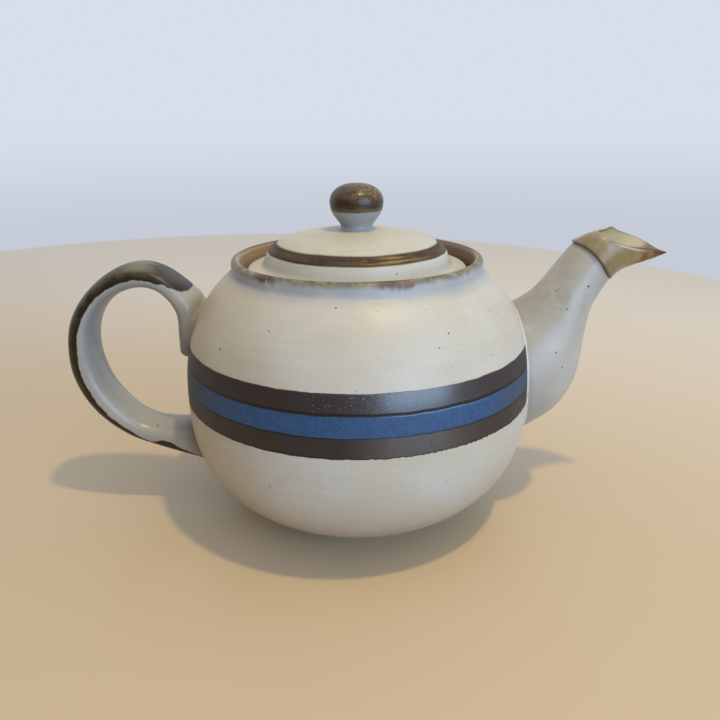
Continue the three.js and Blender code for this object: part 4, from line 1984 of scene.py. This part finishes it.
@dataclass(frozen=True)
class SoftLamp:
    """A soft lamp that points at the pot."""

    name: str
    outline: LampOutline
    place: tuple[float, float, float]
    size: tuple[float, float]
    watts: float
    colour: tuple[float, float, float]
    aim: tuple[float, float, float] = (0.0, 0.0, 0.06)

    def hang(self) -> None:
        """Hangs the lamp in the scene."""
        light = bpy.data.lights.new(self.name, "AREA")
        light.shape = self.outline.value
        light.size, light.size_y = self.size
        light.energy = self.watts
        light.color = self.colour
        lamp = bpy.data.objects.new(self.name, light)
        lamp.location = self.place
        away = Vector(self.place) - Vector(self.aim)
        lamp.rotation_euler = away.to_track_quat("Z", "Y").to_euler()
        bpy.context.collection.objects.link(lamp)


@dataclass
class Studio:
    """The floor, the lights and the camera."""

    floor_radius: float = 0.555
    floor_thickness: float = 0.02
    floor_centre: tuple[float, float] = (-0.1227, 0.1758)
    floor_colour: str = "#ceb999"
    floor_mottle: str = "#c8b196"
    # Painted reflection: the floor's paler sheen towards the back.
    floor_painted_sheen: str = "#e6dac8"
    backdrop_low: Colour = (0.56, 0.60, 0.68, 1.0)
    backdrop_high: Colour = (0.68, 0.735, 0.82, 1.0)
    room_left: Colour = (0.145, 0.112, 0.085, 1.0)
    room_right: Colour = (0.30, 0.33, 0.38, 1.0)
    room_above: Colour = (0.60, 0.60, 0.61, 1.0)
    room_behind: Colour = (0.58, 0.62, 0.70, 1.0)
    lamps: tuple[SoftLamp, ...] = (
        SoftLamp(
            name="pendant",
            outline=LampOutline.ROUND,
            place=(0.261, -0.285, 1.109),
            size=(0.06, 0.06),
            watts=4.8,
            colour=(1.0, 0.75, 0.30),
        ),
        SoftLamp(
            name="window",
            outline=LampOutline.SQUARE,
            place=(0.73, -1.03, 0.36),
            size=(1.05, 0.80),
            watts=12.5,
            colour=(0.46, 0.68, 1.0),
        ),
    )
    camera_place: tuple[float, float, float] = (0.0, -0.27537, 0.16603)
    pitch: float = 0.34985
    yaw: float = 0.00328
    roll: float = -0.00779
    lens: float = 33.707
    sensor_width: float = 36.0
    nearest: float = 0.01

    def lay_floor(self) -> None:
        """Lays a pale round floor, paler towards the back as a painted reflection of the backdrop.
        """
        x, y = self.floor_centre
        size = {"vertices": 256, "radius": self.floor_radius, "depth": self.floor_thickness}
        place = (x, y, -self.floor_thickness / 2)
        bpy.ops.mesh.primitive_cylinder_add(location=place, **size)
        floor = named("floor")
        soften(floor, 0.002, 3)
        r = Recipe("floor")
        colour = r.lay(tint(self.floor_colour), self.floor_mottle, r.noise(0.05, 3.0), 0.12)
        # Painted reflection: paler towards the back and right, as the wall's sheen.
        sheen_reach = r.math("ADD", r.y, r.times(r.x, 0.35))
        colour = r.lay(colour, self.floor_painted_sheen, r.fade(sheen_reach, -0.05, 0.45))
        floor.data.materials.append(r.dress(colour, Roughness=0.35))
        shade(floor)

    def light_world(self) -> None:
        """Lights a soft room, brighter overhead and behind, and seen as a pale backdrop."""
        world = bpy.data.worlds.new("studio")
        bpy.context.scene.world = world
        world.use_nodes = True
        sky = Wiring(world.node_tree)
        towards = sky.add("ShaderNodeTexCoord", {}).outputs["Generated"]
        x, y, z = sky.add("ShaderNodeSeparateXYZ", {0: towards}).outputs
        low = sky.blend(sky.fade(x, -0.8, 0.8), self.room_left, self.room_right)
        room = sky.blend(sky.fade(z, 0.05, 0.85), low, self.room_above)
        behind = sky.times(sky.fade(y, 0.05, 0.35), sky.fade(z, 0.75, 0.45))
        room = sky.blend(behind, room, self.room_behind)
        backdrop = sky.blend(sky.fade(z, -0.16, 0.0), self.backdrop_low, self.backdrop_high)
        path = sky.add("ShaderNodeLightPath", {}).outputs
        mirrored = sky.times(path["Is Glossy Ray"], sky.fade(y, 0.10, 0.20))
        seen = sky.most(path["Is Camera Ray"], path["Is Transmission Ray"], mirrored)
        light = world.node_tree.nodes["Background"]
        sky.fill(light, {"Color": sky.blend(seen, room, backdrop)})

    def set_camera(self) -> None:
        """Sets the camera up at the photograph's place and angle."""
        data = bpy.data.cameras.new("camera")
        data.lens = self.lens
        data.sensor_width = self.sensor_width
        data.clip_start = self.nearest
        camera = bpy.data.objects.new("camera", data)
        level = Vector((math.cos(self.yaw), -math.sin(self.yaw), 0))
        forwards = Vector((math.sin(self.yaw), math.cos(self.yaw), 0))
        ahead = forwards * math.cos(self.pitch) - Vector((0, 0, math.sin(self.pitch)))
        upright = level.cross(ahead)
        right = level * math.cos(self.roll) + upright * math.sin(self.roll)
        up = upright * math.cos(self.roll) - level * math.sin(self.roll)
        turn = Matrix((right, up, -ahead)).transposed().to_4x4()
        camera.matrix_world = Matrix.Translation(self.camera_place) @ turn
        bpy.context.collection.objects.link(camera)
        bpy.context.scene.camera = camera

    def build(self) -> None:
        """Sets the whole studio up."""
        self.lay_floor()
        self.light_world()
        for lamp in self.lamps:
            lamp.hang()
        bpy.context.scene.view_settings.view_transform = "Standard"
        self.set_camera()


def main() -> None:
    """Builds the studio and the teapot, piece by piece."""
    logging.basicConfig(level=logging.INFO, format="%(message)s")
    Studio().build()
    Pot().build()
    Lid().build()
    Guard().build()
    Infuser().build()


if __name__ == "__main__":
    main()
